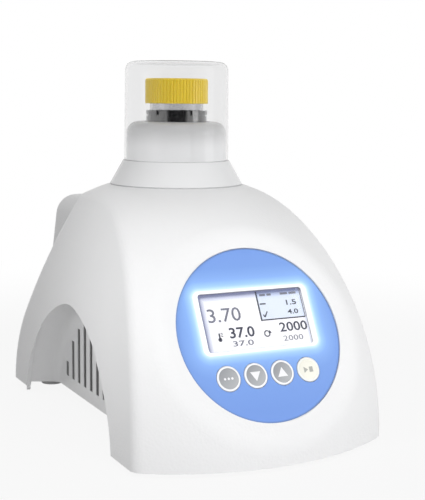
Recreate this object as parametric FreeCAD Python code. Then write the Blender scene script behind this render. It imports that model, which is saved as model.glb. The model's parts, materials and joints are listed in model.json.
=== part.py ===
import FreeCAD, Part
import math
import os

V = FreeCAD.Vector

# ---------------------------------------------------------------------------
# Driving dimensions, in mm and degrees.
# While modelling, the tube axis is X = Y = 0, the front is -Y and z = 0 is the lower edge of the
# housing. On export every piece moves back by axis_back and up by foot_drop, so that the origin
# lies on the bench, under the middle of the footprint.
# ---------------------------------------------------------------------------

# Housing: an ellipsoid of revolution about the tube axis, cut by two upright arched sides, a
# leaning round back and a flat rear panel
dome_radius = 121.6
collar_step = 0.46
half_width = 67.8
side_rise = 163.0
back_radius = 104.6
back_bend_radius = 90.0
back_lean = 30.5
rear_plane = 89.0
crease_radius = 8.0
wall = 2.8
wall_root = 0.5
neck_hole_radius = 24.0

# Rear box that carries the fan
hump_half_width = 50.3
hump_drop = 11.2
hump_draft = 12.8
hump_crown = 1.5
hump_corner_radius = 12.0
hump_front_y = 12.0
rear_edge_radius = 4.0

# Arched recess on each side, with its vent slots
recess_depth = 17.3
arch_crown_y = -3.5
arch_front_reach = 70.5
arch_back_reach = 59.0
arch_height = 59.8
arch_fullness = 1.7
recess_draft = 6.5
recess_root_radius = 7.0
lip_depth = 2.2
lip_step = 1.0
slot_count = 10
slot_pitch = 9.3
slot_middle_y = -7.5
slot_width = 3.9
slot_sill = 7.0
slot_head_gap = 4.5
slot_end_gap = 8.5
rear_leg_lift = 2.5

# Control panel: a flat facet that leans back, with a round overlay let into it
panel_lean = 28.5
panel_rise = 4.82
facet_border = 8.62
facet_blend_radius = 18.0
overlay_radius = 43.15
overlay_thickness = 0.6
overlay_depth = 0.7
window_half_width = 28.4
window_low = -7.2
window_high = 21.7
window_corner_radius = 1.6
window_thickness = 0.5
window_gap = 0.15
display_half_width = 33.0
display_rim = 5.0
display_thickness = 6.3
display_gap = 0.1
button_names = ["button_select", "button_down", "button_up", "button_run"]
button_radius = 6.0
button_lip = 1.0
button_lip_height = 0.25
button_pitch = 14.33
button_v = -19.97
button_travel = 0.5
button_proud = 0.35
button_flange = 0.9
button_flange_thickness = 1.2
board_half_width = 40.0
board_low = -32.0
board_high = 30.0
board_thickness = 1.6
board_post_u = 37.0
board_post_inset = 3.0
board_post_radius = 3.0
switch_side = 6.0
plunger_radius = 1.7
plunger_height = 0.6
plunger_gap = 0.1

# Base
base_lift = 4.5
base_thickness = 3.0
foot_drop = 1.5
foot_radius = 7.0
foot_taper = 0.8
foot_stem_radius = 2.3
front_foot_side_inset = 17.8
front_foot_inset = 35.6
rear_foot_side_inset = 20.8
rear_foot_inset = 17.0
base_boss_side_inset = 6.3
base_boss_front_inset = 31.6
base_boss_rear_inset = 38.6
base_boss_radius = 4.0
base_boss_height = 30.0

# Collar and clear cover
collar_base_radius = 35.6
collar_ledge_radius = 28.7
collar_skirt_height = 12.9
collar_neck_radius = 26.9
collar_neck_height = 20.7
collar_shoulder_radius = 6.5
collar_wall = 2.5
collar_screw_circle = 29.3
collar_screw_count = 4
gasket_inset = 0.4
gasket_width = 2.6
gasket_thickness = 0.6
cover_gap = 0.3
cover_wall = 0.85
cap_head_room = 7.7
cover_top_wall = 1.2
cover_corner_radius = 4.5
cover_draft = 0.5

# Culture tube, its cap and the rotor that turns it
tube_radius = 14.37
tube_wall = 1.1
tube_length = 112.4
tube_cone_length = 15.0
tube_tip_radius = 3.5
cap_radius = 16.82
cap_skirt = 10.3
filter_gap = 0.4
cap_top_wall = 1.5
cap_clearance = 0.43
cap_edge_radius = 0.8
cap_rib_count = 60
cap_rib_depth = 0.35
cap_rib_land = 0.55
cap_rib_foot = 0.78
cap_vent_radius = 1.25
cap_vent_circle = 7.0
cap_vent_count = 5
filter_thickness = 1.0
grip_radius = 16.4
grip_height = 6.5
neck_show = 3.6
grip_groove = 0.6
grip_notch_count = 6
grip_notch_width = 3.0
sleeve_radius = 17.0
sleeve_sink = 0.6
sleeve_floor = 5.0
sleeve_window_radius = 3.0
o_ring_drop = 4.5
o_ring_radius = 0.79
sensor_rise = 14.0
bush_drop = 3.0
bush_length = 9.0
bush_thickness = 3.0

# Drive
shaft_radius = 3.0
shaft_end_rise = 10.0
coupling_radius = 9.0
coupling_lift = 1.5
coupling_length = 6.5
motor_radius = 18.5
motor_length = 36.0
motor_edge = 1.0
motor_boss_radius = 6.0
motor_boss_height = 2.0
motor_screw_circle = 13.0
motor_lift = 2.5
frame_plate_thickness = 3.0
frame_half_width = 28.0
frame_half_depth = 19.0
frame_leg_thickness = 2.0
frame_flange = 12.0
frame_bend_radius = 1.5
frame_screw_y = 12.0

# Thermal block, heat pump, heat sink and fan
block_half_width = 27.0
block_half_depth = 22.0
block_length = 50.0
block_post_x = 22.0
block_post_y = 15.0
block_post_radius = 3.0
block_screw_grip = 6.0
block_gap = 0.4
jacket_thickness = 3.2
emitter_radius = 2.5
emitter_flange = 0.45
emitter_flange_thickness = 1.2
probe_radius = 1.5
probe_rise = 33.0
probe_depth = 3.2
peltier_side = 40.0
peltier_thickness = 3.8
peltier_rise = 21.0
sink_side = 56.0
sink_base_thickness = 5.0
sink_fin_count = 11
sink_fin_thickness = 1.5
sink_fan_gap = 5.1
clamp_grip = 8.0
clamp_head_radius = 1.8
fan_side = 60.0
fan_depth = 15.0
fan_head_room = 1.2
fan_corner_radius = 4.0
fan_bore_radius = 28.3
fan_hub_radius = 14.5
fan_blade_radius = 27.3
fan_blade_count = 7
fan_blade_thickness = 1.2
fan_blade_pitch = 38.0
fan_plate_thickness = 2.5
fan_strut_width = 3.0
fan_strut_count = 4
fan_pin_radius = 1.5
fan_pin_length = 7.5
fan_blade_tip_share = 0.75
fan_screw_spacing = 50.0
grille_radius = 26.5
grille_slot_width = 3.0
grille_slot_pitch = 6.0
grille_slot_count = 9
grille_bar = 3.0

# Rear connector bay and power board
bay_half_width = 33.0
bay_low_z = 10.0
bay_high_z = 36.0
bay_depth = 3.5
switch_x = -22.0
switch_half_width = 7.5
switch_half_height = 10.5
switch_bezel = 1.5
switch_bezel_width = 1.6
switch_body_depth = 12.0
rocker_rise = 1.4
rocker_lean = 7.0
rocker_valley = 4.0
rocker_end_gap = 0.7
rocker_pin_radius = 1.0
inlet_x = 6.0
inlet_half_width = 4.5
inlet_height = 11.0
inlet_depth = 14.0
inlet_ring_radius = 5.2
inlet_bore_radius = 2.85
inlet_bore_length = 9.5
inlet_pin_radius = 1.0
usb_x = 24.0
usb_half_width = 6.0
usb_height = 10.9
usb_depth = 16.0
usb_port_half_width = 4.2
usb_port_half_height = 3.65
usb_port_depth = 9.0
usb_tongue_half_width = 2.8
usb_tongue_half_height = 1.5
power_board_left = -14.0
power_board_right = 36.0
power_board_length = 48.4
power_board_lift = 5.5
power_board_post_inset = 4.0
power_board_post_reach = 24.4
power_board_post_radius = 2.6
capacitor_radius = 5.0
capacitor_height = 14.0
capacitor_edge = 0.8
capacitor_xs = [-6.0, 6.0]
capacitor_inset = 16.0
inductor_side = 14.0
inductor_height = 9.0
inductor_x = 24.0
inductor_inset = 12.0

# Fits and fasteners
running_gap = 0.05
seat_gap = 0.3
rest_gap = 0.2
screw_radius = 1.5
screw_clearance = 0.2
screw_head_radius = 2.8
screw_head_height = 1.8
screw_head_edge = 0.7
screw_slot_depth = 0.6
screw_slot_half_width = 0.35
screw_grip = 6.0

# ---------------------------------------------------------------------------
# Values worked out from the sizes above
# ---------------------------------------------------------------------------
below = 5.0
far = 400.0
axis_back = (dome_radius - rear_plane) / 2

# Heights, from the base plate up through motor, rotor and tube to the cover
base_low_z = base_lift
base_top_z = base_lift + base_thickness
motor_low_z = base_top_z + motor_lift
shaft_low_z = motor_low_z + shaft_end_rise
frame_plate_z = motor_low_z + motor_length
frame_top_z = frame_plate_z + frame_plate_thickness
coupling_low_z = frame_top_z + coupling_lift
sleeve_floor_z = coupling_low_z + coupling_length
tube_tip_z = sleeve_floor_z + sleeve_floor
tube_rim_z = tube_tip_z + tube_length
cap_low_z = tube_rim_z - cap_skirt
cap_top_z = tube_rim_z + filter_gap + filter_thickness + cap_top_wall
cover_top_z = cap_top_z + cap_head_room + cover_top_wall
grip_top_z = cap_low_z - neck_show
sleeve_top_z = grip_top_z - grip_height
o_ring_z = sleeve_top_z - o_ring_drop
bush_high_z = sleeve_top_z - bush_drop
bush_low_z = bush_high_z - bush_length
collar_top_z = sleeve_top_z + sleeve_sink
collar_ledge_z = collar_top_z - collar_neck_height
collar_seat_z = collar_ledge_z - collar_skirt_height
block_low_z = tube_tip_z
block_top_z = block_low_z + block_length
sensor_z = block_low_z + sensor_rise
probe_z = block_low_z + probe_rise
peltier_middle_z = block_low_z + peltier_rise
hump_top_z = collar_seat_z - hump_drop
fan_middle_z = hump_top_z - wall - fan_head_room - fan_side / 2

# Housing: the dome's rise makes it as wide as the collar's seat at that height
dome_rise = collar_seat_z / math.sqrt(1 - ((collar_base_radius + collar_step) / dome_radius) ** 2)
recess_x = half_width - recess_depth
hump_side_x = hump_half_width - hump_draft
base_boss_x = half_width - base_boss_side_inset
base_boss_front_y = base_boss_front_inset - dome_radius
base_boss_rear_y = back_radius - base_boss_rear_inset
front_foot_x = half_width - front_foot_side_inset
front_foot_y = front_foot_inset - dome_radius
rear_foot_x = half_width - rear_foot_side_inset
rear_foot_y = rear_plane - rear_foot_inset

# Panel: the facet's plane lies as deep in the dome as its width needs
lean_angle = math.radians(panel_lean)
facet_half_width = overlay_radius + facet_border
facet_reach = math.hypot(dome_radius * math.cos(lean_angle), dome_rise * math.sin(lean_angle))
facet_distance = facet_reach * math.sqrt(1 - (facet_half_width / dome_radius) ** 2)
panel_y = panel_rise * math.sin(lean_angle) - facet_distance * math.cos(lean_angle)
panel_z = panel_rise * math.cos(lean_angle) + facet_distance * math.sin(lean_angle)
panel_turn = FreeCAD.Rotation(V(1, 0, 0), 90 - panel_lean)
panel_inner = -wall
overlay_face = -overlay_depth
overlay_seat = overlay_face - overlay_thickness
window_back = overlay_seat - window_thickness
display_front = window_back - display_gap
board_front = panel_inner - display_gap - display_thickness
board_back = board_front - board_thickness

# Fits round the tube axis
cover_inner_radius = collar_neck_radius + cover_gap
cover_outer_radius = cover_inner_radius + cover_wall
tube_bore = tube_radius + seat_gap
bush_outer_radius = sleeve_radius + running_gap + bush_thickness
collar_hole_radius = sleeve_radius + seat_gap

# From the thermal block back to the rear face
jacket_x = block_half_width + seat_gap
jacket_y = block_half_depth + seat_gap
sink_front_y = block_half_depth + peltier_thickness
fin_front_y = sink_front_y + sink_base_thickness
rear_wall_y = rear_plane - wall
fan_rear_y = rear_wall_y - seat_gap
fan_front_y = fan_rear_y - fan_depth
fan_plate_y = fan_rear_y - fan_plate_thickness
sink_fin_length = fan_front_y - sink_fan_gap - fin_front_y
fin_pitch = (sink_side - sink_fin_thickness) / (sink_fin_count - 1)
clamp_x = (sink_side - sink_fin_thickness) / 2 - fin_pitch / 2
bay_floor_y = rear_plane - bay_depth
bay_inner_y = bay_floor_y - wall
switch_z = (bay_low_z + bay_high_z) / 2
power_board_rear = bay_inner_y - seat_gap
power_board_front = power_board_rear - power_board_length
power_board_z = base_top_z + power_board_lift
power_board_top_z = power_board_z + board_thickness
capacitor_y = power_board_front + capacitor_inset
inductor_y = power_board_front + inductor_inset
inlet_z = power_board_top_z + inlet_height / 2
usb_z = power_board_top_z + usb_height / 2


# ---------------------------------------------------------------------------
# Small helpers
# ---------------------------------------------------------------------------
def box(x1, x2, y1, y2, z1, z2):
    return Part.makeBox(x2 - x1, y2 - y1, z2 - z1, V(x1, y1, z1))


def rod(radius, z1, z2, x=0.0, y=0.0):
    """Upright cylinder."""
    return Part.makeCylinder(radius, z2 - z1, V(x, y, z1))


def rod_back(radius, y1, y2, x, z):
    """Cylinder that runs towards the back, along +Y."""
    return Part.makeCylinder(radius, y2 - y1, V(x, y1, z), V(0, 1, 0))


def rod_side(radius, x1, x2, y, z):
    """Cylinder that runs along +X."""
    return Part.makeCylinder(radius, x2 - x1, V(x1, y, z), V(1, 0, 0))


def line(start, end):
    return Part.LineSegment(start, end).toShape()


def arc(start, middle, end):
    return Part.Arc(start, middle, end).toShape()


def turned(outline):
    """Solid of revolution about Z from a closed outline of (radius, z) corners."""
    corners = [V(r, 0, z) for r, z in outline]
    face = Part.Face(Part.makePolygon(corners + corners[:1]))
    return face.revolve(V(0, 0, 0), V(0, 0, 1), 360)


def turned_edges(edges):
    """Solid of revolution about Z from the edges of a closed outline in the XZ plane."""
    face = Part.Face(Part.Wire(Part.__sortEdges__(edges)))
    return face.revolve(V(0, 0, 0), V(0, 0, 1), 360)


def fused(shapes):
    return shapes[0].multiFuse(shapes[1:]).removeSplitter()


def group(shapes):
    """Several separate solids that make up one node."""
    return Part.Compound(shapes)


def both_sides(shape):
    """The shape and its mirror image about the middle plane."""
    return [shape, shape.mirror(V(0, 0, 0), V(1, 0, 0))]


def rounded_box(x1, x2, y1, y2, z1, z2, radius):
    """Box whose upright edges are rounded."""
    block = box(x1, x2, y1, y2, z1, z2)
    return block.makeFillet(radius, [e for e in block.Edges if e.BoundBox.ZLength > (z2 - z1) / 2])


def on_panel(shape):
    """Lay a shape drawn with X across, Y up the slope and Z outwards on the facet."""
    return shape.transformed(FreeCAD.Placement(V(0, panel_y, panel_z), panel_turn).toMatrix())


def screw(x, y, seat_z, grip, head_up=True, head_radius=screw_head_radius):
    """Pan-head screw whose head bears on the plane seat_z, with its shank on the other side."""
    way = 1 if head_up else -1
    head = rod(head_radius, 0, screw_head_height)
    head = head.makeFillet(screw_head_edge, [head.Edges[0]])
    shank = rod(screw_radius, -grip, 0)
    shape = head.fuse(shank)
    if way < 0:
        shape.rotate(V(0, 0, 0), V(1, 0, 0), 180)
    shape.translate(V(x, y, seat_z))
    return shape


# ---------------------------------------------------------------------------
# Housing
# ---------------------------------------------------------------------------
def ellipse_edge(reach, rise, top):
    """Arc of the upright ellipse with half-axes reach and rise, from z = 0 up to z = top."""
    last = math.asin(top / rise)
    unit = arc(*[V(math.cos(t), 0, math.sin(t)) for t in (0, last / 2, last)])
    stretch = FreeCAD.Matrix()
    stretch.scale(reach, 1, rise)
    return unit.transformGeometry(stretch)


def ellipse_radius(reach, rise, z):
    return reach * math.sqrt(1 - (z / rise) ** 2)


def dome_form(inset):
    """Ellipsoid of revolution with a flat top, open to below the housing's lower edge."""
    reach, rise, top = dome_radius - inset, dome_rise - inset, collar_seat_z - inset
    top_radius = ellipse_radius(reach, rise, top)
    return turned_edges([
        line(V(reach, 0, -below), V(reach, 0, 0)),
        ellipse_edge(reach, rise, top),
        line(V(top_radius, 0, top), V(0, 0, top)),
        line(V(0, 0, top), V(0, 0, -below)),
        line(V(0, 0, -below), V(reach, 0, -below)),
    ])


def side_form(inset):
    """Space between the two sides: a tall elliptical arch, drawn out from front to back."""
    reach, rise, top = half_width - inset, side_rise - inset, collar_seat_z + below
    top_x = ellipse_radius(reach, rise, top)
    right = ellipse_edge(reach, rise, top)
    outline = [
        right,
        right.mirror(V(0, 0, 0), V(1, 0, 0)),
        line(V(top_x, 0, top), V(-top_x, 0, top)),
        line(V(reach, 0, 0), V(reach, 0, -below)),
        line(V(reach, 0, -below), V(-reach, 0, -below)),
        line(V(-reach, 0, -below), V(-reach, 0, 0)),
    ]
    solid = Part.Face(Part.Wire(Part.__sortEdges__(outline))).extrude(V(0, far, 0))
    solid.translate(V(0, -far / 2, 0))
    return solid


def back_form(inset):
    """Round back that starts upright and leans forward, cut by the flat rear plane."""
    radius, bend, lean = back_radius - inset, back_bend_radius - inset, math.radians(back_lean)
    bend_z = bend * math.sin(lean)
    bend_r = radius - bend * (1 - math.cos(lean))
    top = collar_seat_z + below
    top_r = bend_r - (top - bend_z) * math.tan(lean)
    middle = V(radius - bend * (1 - math.cos(lean / 2)), 0, bend * math.sin(lean / 2))
    outline = [
        line(V(radius, 0, -below), V(radius, 0, 0)),
        arc(V(radius, 0, 0), middle, V(bend_r, 0, bend_z)),
        line(V(bend_r, 0, bend_z), V(top_r, 0, top)),
        line(V(top_r, 0, top), V(0, 0, top)),
        line(V(0, 0, top), V(0, 0, -below)),
        line(V(0, 0, -below), V(radius, 0, -below)),
    ]
    front = Part.Face(Part.Wire(outline)).extrude(V(0, -far / 2, 0))
    before_rear = box(-far / 2, far / 2, -far / 2, rear_plane - inset, -below, top)
    return fused([turned_edges(outline)] + both_sides(front)).common(before_rear)


def beyond_panel(inset):
    """Everything in front of the facet's plane."""
    return on_panel(box(-far / 2, far / 2, -far / 2, far / 2, -inset, far))


def faceted_dome():
    """The dome with its facet and the soft blend round it."""
    form = dome_form(0).cut(beyond_panel(0))
    facet = [f for f in form.Faces if f.Surface.TypeId == "Part::GeomPlane"
             and f.normalAt(0, 0).z > 0.2 and f.normalAt(0, 0).y < -0.2][0]
    return form.makeFillet(facet_blend_radius, facet.Edges)


def hump_form(inset, low_z):
    """Rear box with drafted sides and a slightly crowned, round-cornered top."""
    foot_x, side_x = hump_half_width - inset, hump_side_x - inset
    top = hump_top_z - inset
    shoulder = top - hump_crown
    outline = [
        line(V(-foot_x, 0, low_z), V(foot_x, 0, low_z)),
        line(V(foot_x, 0, low_z), V(side_x, 0, shoulder)),
        arc(V(side_x, 0, shoulder), V(0, 0, top), V(-side_x, 0, shoulder)),
        line(V(-side_x, 0, shoulder), V(-foot_x, 0, low_z)),
    ]
    length = rear_plane - inset - hump_front_y
    solid = Part.Face(Part.Wire(outline)).extrude(V(0, length, 0))
    solid.translate(V(0, hump_front_y, 0))
    corners = [e for e in solid.Edges if e.BoundBox.YLength > length / 2 and e.BoundBox.ZMin > top / 2]
    return solid.makeFillet(hump_corner_radius - inset, corners)


def arch_wire(x, grow):
    """Outline of the side arch at the depth x, open downwards, made larger all round by grow."""
    steps = 12
    power = 2 / arch_fullness
    points = []
    for i in range(steps + 1):
        angle = math.pi * i / steps
        reach = (arch_back_reach if i < steps / 2 else arch_front_reach) + grow
        along = math.copysign(abs(math.cos(angle)) ** power, math.cos(angle))
        points.append(V(x, arch_crown_y + reach * along, (arch_height + grow) * math.sin(angle) ** power))
    curve = Part.BSplineCurve()
    curve.interpolate(points)
    back_foot, front_foot = points[0], points[-1]
    back_low, front_low = (V(x, p.y, -below) for p in (back_foot, front_foot))
    return Part.Wire([
        curve.toShape(),
        line(front_foot, front_low),
        line(front_low, back_low),
        line(back_low, back_foot),
    ])


def recess_form(grow):
    """Space of the right-hand recess, made larger by grow for the wall behind it."""
    inner_x, lip_x, outer_x = recess_x - grow, half_width - lip_depth, half_width + 2 * below
    slope = recess_draft / (lip_x - recess_x)
    deep = Part.makeLoft([
        arch_wire(inner_x, grow + lip_step - recess_draft),
        arch_wire(lip_x, grow + lip_step + slope * grow),
    ], True, True)
    root = [e for e in deep.Edges if e.BoundBox.XMax < inner_x + 0.01 and e.BoundBox.ZMax > 1]
    deep = deep.makeFillet(recess_root_radius, root)
    if grow:
        return deep.fuse(Part.makeLoft([
            arch_wire(lip_x, grow + lip_step + slope * grow),
            arch_wire(outer_x, grow + lip_step + slope * grow),
        ], True, True))
    mouth = Part.makeLoft([arch_wire(lip_x, 0), arch_wire(outer_x, 0)], True, True)
    return deep.fuse(mouth)


def slot_top(y):
    """Height of a vent slot's head: under an arch that lies well inside the recess's own."""
    inset = recess_draft - lip_step
    reach = (arch_back_reach if y > arch_crown_y else arch_front_reach) - inset - slot_end_gap
    share = abs(y - arch_crown_y) / reach
    return (arch_height - inset) * (1 - share ** arch_fullness) ** (1 / arch_fullness) - slot_head_gap


def vent_slots():
    slots = []
    for i in range(slot_count):
        y = slot_middle_y + (i - (slot_count - 1) / 2) * slot_pitch
        slots.append(box(recess_x - 2 * wall, recess_x + wall, y - slot_width / 2, y + slot_width / 2,
                         base_lift + slot_sill, slot_top(y)))
    return slots


def grille_slots():
    """Upright slots inside a circle in front of the fan, with a bar across the middle."""
    slots = []
    for i in range(grille_slot_count):
        x = (i - (grille_slot_count - 1) / 2) * grille_slot_pitch
        half = math.sqrt(grille_radius ** 2 - x ** 2)
        left, right = x - grille_slot_width / 2, x + grille_slot_width / 2
        y1, y2 = rear_wall_y - 1, rear_plane + 1
        slots.append(box(left, right, y1, y2, fan_middle_z + grille_bar / 2, fan_middle_z + half))
        slots.append(box(left, right, y1, y2, fan_middle_z - half, fan_middle_z - grille_bar / 2))
    return slots


def rear_box(inset_y, grow):
    """Connector bay, made larger by grow for the wall behind it."""
    return box(-bay_half_width - grow, bay_half_width + grow, inset_y, rear_plane + below,
               bay_low_z - grow, bay_high_z + grow)


def window_block(n1, n2, grow):
    return rounded_box(-window_half_width - grow, window_half_width + grow, window_low - grow,
                       window_high + grow, n1, n2, window_corner_radius + grow)


def button_u(i):
    return (i - (len(button_names) - 1) / 2) * button_pitch


def button_holes(n1, n2):
    return [rod(button_radius + seat_gap, n1, n2, button_u(i), button_v) for i in range(len(button_names))]


def board_post_places():
    low, high = board_low + board_post_inset, board_high - board_post_inset
    return [(u, v) for u in (-board_post_u, board_post_u) for v in (low, high)]


def base_boss_places():
    return [(x, y) for x in (-base_boss_x, base_boss_x) for y in (base_boss_front_y, base_boss_rear_y)]


def fan_screw_places():
    half = fan_screw_spacing / 2
    return [(x, fan_middle_z + z) for x in (-half, half) for z in (-half, half)]


def collar_screw_places():
    step = 2 * math.pi / collar_screw_count
    angles = [(i + 0.5) * step for i in range(collar_screw_count)]
    return [(collar_screw_circle * math.cos(t), collar_screw_circle * math.sin(t)) for t in angles]


def has_two_faces(shape, edge):
    return len(shape.ancestorsOfType(edge, Part.Face)) == 2


def outer_housing():
    """Outer form: the vault with its soft creases, the facet and the rear box."""
    form = dome_form(0).common(side_form(0)).common(back_form(0))
    form = form.common(box(-far / 2, far / 2, -far / 2, far / 2, 0, far)).removeSplitter()
    creases = [e for e in form.Edges
               if e.BoundBox.ZMax > 1 and e.BoundBox.ZMax < collar_seat_z - 1 and has_two_faces(form, e)
               and e.BoundBox.YMax < rear_plane - 0.01]
    form = form.makeFillet(crease_radius, creases).common(faceted_dome())
    form = form.fuse(hump_form(0, 0)).removeSplitter()
    rim = [e for e in form.Edges if e.BoundBox.YMin > rear_plane - 0.01 and e.BoundBox.ZMax > 1]
    return form.makeFillet(rear_edge_radius, rim)


def inner_housing():
    form = dome_form(wall).common(side_form(wall)).common(back_form(wall))
    return form.cut(beyond_panel(wall)).fuse(hump_form(wall, -below))


def housing_shell():
    outer = outer_housing()
    shell = outer.cut(inner_housing())
    walls = both_sides(recess_form(wall)) + [rear_box(bay_inner_y, wall)]
    bosses = [rod(base_boss_radius, base_top_z, base_top_z + base_boss_height, x, y)
              for x, y in base_boss_places()]
    posts = [on_panel(rod(board_post_radius, board_front, panel_inner + wall_root, u, v))
             for u, v in board_post_places()]
    shell = shell.multiFuse([w.common(outer) for w in walls + bosses + posts])
    skin_x = half_width - wall
    raised = [w.common(box(-skin_x, skin_x, -far, far, -below, base_lift)) for w in walls[:2]]
    cuts = both_sides(recess_form(0)) + raised + [rear_box(bay_floor_y, 0)]
    cuts.append(box(-far / 2, far / 2, arch_crown_y + arch_back_reach, far, -below, rear_leg_lift))
    for slot in vent_slots():
        cuts += both_sides(slot)
    cuts += grille_slots()
    cuts.append(rod(neck_hole_radius, collar_seat_z - 2 * wall, collar_seat_z + wall))
    cuts += [rod(screw_radius + screw_clearance, collar_seat_z - 2 * wall, collar_seat_z + wall, x, y)
             for x, y in collar_screw_places()]
    cuts += [rod(screw_radius, base_low_z, base_top_z + screw_grip, x, y) for x, y in base_boss_places()]
    cuts += [on_panel(rod(screw_radius, board_front - 1, board_front + screw_grip - board_thickness, u, v))
             for u, v in board_post_places()]
    cuts.append(on_panel(rod(overlay_radius + screw_clearance, overlay_seat, far / 10)))
    cuts.append(on_panel(window_block(panel_inner - 1, 1, 0)))
    cuts += [on_panel(h) for h in button_holes(panel_inner - 1, 1)]
    cuts += [fan_screw_hole(x, z) for x, z in fan_screw_places()]
    cuts.append(rod_back(inlet_ring_radius + screw_clearance, bay_inner_y - 1, bay_floor_y + 1,
                         inlet_x, inlet_z))
    cuts.append(box(usb_x - usb_half_width - screw_clearance, usb_x + usb_half_width + screw_clearance,
                    bay_inner_y - 1, bay_floor_y + 1, usb_z - usb_height / 2 - screw_clearance,
                    usb_z + usb_height / 2 + screw_clearance))
    cuts.append(switch_block(bay_inner_y - 1, bay_floor_y + 1, switch_bezel_width - screw_clearance))
    return shell.cut(group(cuts)).removeSplitter()


def fan_screw_hole(x, z):
    """Countersunk hole through the rear wall."""
    sink = Part.makeCone(screw_radius, screw_head_radius, screw_head_height,
                         V(x, rear_plane - screw_head_height, z), V(0, 1, 0))
    return sink.fuse(rod_back(screw_radius, rear_wall_y - 1, rear_plane, x, z))


# ---------------------------------------------------------------------------
# Base plate, feet and their screws
# ---------------------------------------------------------------------------
def power_board_places():
    inset = power_board_post_inset
    xs = (power_board_left + inset, power_board_right - inset)
    ys = (power_board_front + inset, power_board_front + inset + power_board_post_reach)
    return [(x, y) for x in xs for y in ys]


def frame_screw_places():
    x = frame_half_width + frame_flange / 2
    return [(sx * x, y) for sx in (-1, 1) for y in (-frame_screw_y, frame_screw_y)]


def foot_places():
    return {
        "foot_front_left": (-front_foot_x, front_foot_y),
        "foot_front_right": (front_foot_x, front_foot_y),
        "foot_rear_left": (-rear_foot_x, rear_foot_y),
        "foot_rear_right": (rear_foot_x, rear_foot_y),
    }


def base_plate():
    inset = wall + seat_gap
    form = dome_form(inset).common(side_form(inset)).common(back_form(inset))
    plate = form.common(box(-far / 2, far / 2, -far / 2, far / 2, base_low_z, base_top_z))
    plate = plate.cut(group(both_sides(recess_form(wall + seat_gap))))
    plate = plate.cut(rear_box(bay_inner_y - seat_gap, wall + seat_gap))
    posts = [rod(power_board_post_radius, base_top_z, power_board_z, x, y) for x, y in power_board_places()]
    plate = fused([plate] + posts)
    holes = [rod(screw_radius, base_low_z - 1, base_top_z + 1, x, y)
             for x, y in base_boss_places() + frame_screw_places()]
    holes += [rod(screw_radius, base_top_z, power_board_z + 1, x, y) for x, y in power_board_places()]
    stems = [rod(foot_stem_radius, base_low_z - 1, base_top_z + 1, x, y) for x, y in foot_places().values()]
    return plate.cut(group(holes + stems))


def rubber_foot(x, y):
    """Tapered rubber foot with a stem that plugs into the base plate."""
    pad = Part.makeCone(foot_radius - foot_taper, foot_radius, base_low_z + foot_drop, V(x, y, -foot_drop))
    return pad.fuse(rod(foot_stem_radius, base_low_z, base_top_z, x, y))


# ---------------------------------------------------------------------------
# Collar, gasket, bush and clear cover
# ---------------------------------------------------------------------------
def neck_collar():
    """Turned collar: a cone that rises to the cover's ledge, and a neck with a round shoulder."""
    foot_z = collar_seat_z + gasket_thickness
    shoulder_z = collar_top_z - collar_shoulder_radius
    shoulder_r = collar_neck_radius - collar_shoulder_radius
    slant = collar_shoulder_radius * math.sqrt(0.5)
    inner_neck = collar_neck_radius - collar_wall
    edges = [
        line(V(collar_base_radius - collar_wall, 0, foot_z), V(collar_base_radius, 0, foot_z)),
        line(V(collar_base_radius, 0, foot_z), V(collar_ledge_radius, 0, collar_ledge_z)),
        line(V(collar_ledge_radius, 0, collar_ledge_z), V(collar_neck_radius, 0, collar_ledge_z)),
        line(V(collar_neck_radius, 0, collar_ledge_z), V(collar_neck_radius, 0, shoulder_z)),
        arc(V(collar_neck_radius, 0, shoulder_z), V(shoulder_r + slant, 0, shoulder_z + slant),
            V(shoulder_r, 0, collar_top_z)),
        line(V(shoulder_r, 0, collar_top_z), V(collar_hole_radius, 0, collar_top_z)),
        line(V(collar_hole_radius, 0, collar_top_z), V(collar_hole_radius, 0, bush_high_z)),
        line(V(collar_hole_radius, 0, bush_high_z), V(bush_outer_radius, 0, bush_high_z)),
        line(V(bush_outer_radius, 0, bush_high_z), V(bush_outer_radius, 0, bush_low_z)),
        line(V(bush_outer_radius, 0, bush_low_z), V(inner_neck, 0, bush_low_z)),
        line(V(inner_neck, 0, bush_low_z), V(inner_neck, 0, collar_ledge_z)),
        line(V(inner_neck, 0, collar_ledge_z), V(collar_base_radius - collar_wall, 0, foot_z)),
    ]
    collar = turned_edges(edges)
    inside = turned([(0, collar_seat_z), (collar_base_radius - 1, collar_seat_z),
                     (collar_base_radius - 1, foot_z), (collar_ledge_radius - 1, collar_ledge_z),
                     (0, collar_ledge_z)])
    bosses = [rod(screw_head_radius, collar_seat_z, collar_ledge_z, x, y).common(inside)
              for x, y in collar_screw_places()]
    pilots = [rod(screw_radius, collar_seat_z - 1, collar_seat_z + screw_grip + screw_radius, x, y)
              for x, y in collar_screw_places()]
    return collar.multiFuse(bosses).cut(group(pilots))


def collar_gasket():
    """Thin seal that shows as the dark seam under the collar."""
    outer = collar_base_radius - gasket_inset
    return turned([(outer - gasket_width, collar_seat_z), (outer, collar_seat_z),
                   (outer, collar_seat_z + gasket_thickness),
                   (outer - gasket_width, collar_seat_z + gasket_thickness)])


def upper_bush():
    inner = sleeve_radius + running_gap
    return rod(bush_outer_radius, bush_low_z, bush_high_z).cut(rod(inner, bush_low_z - 1, bush_high_z + 1))


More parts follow.
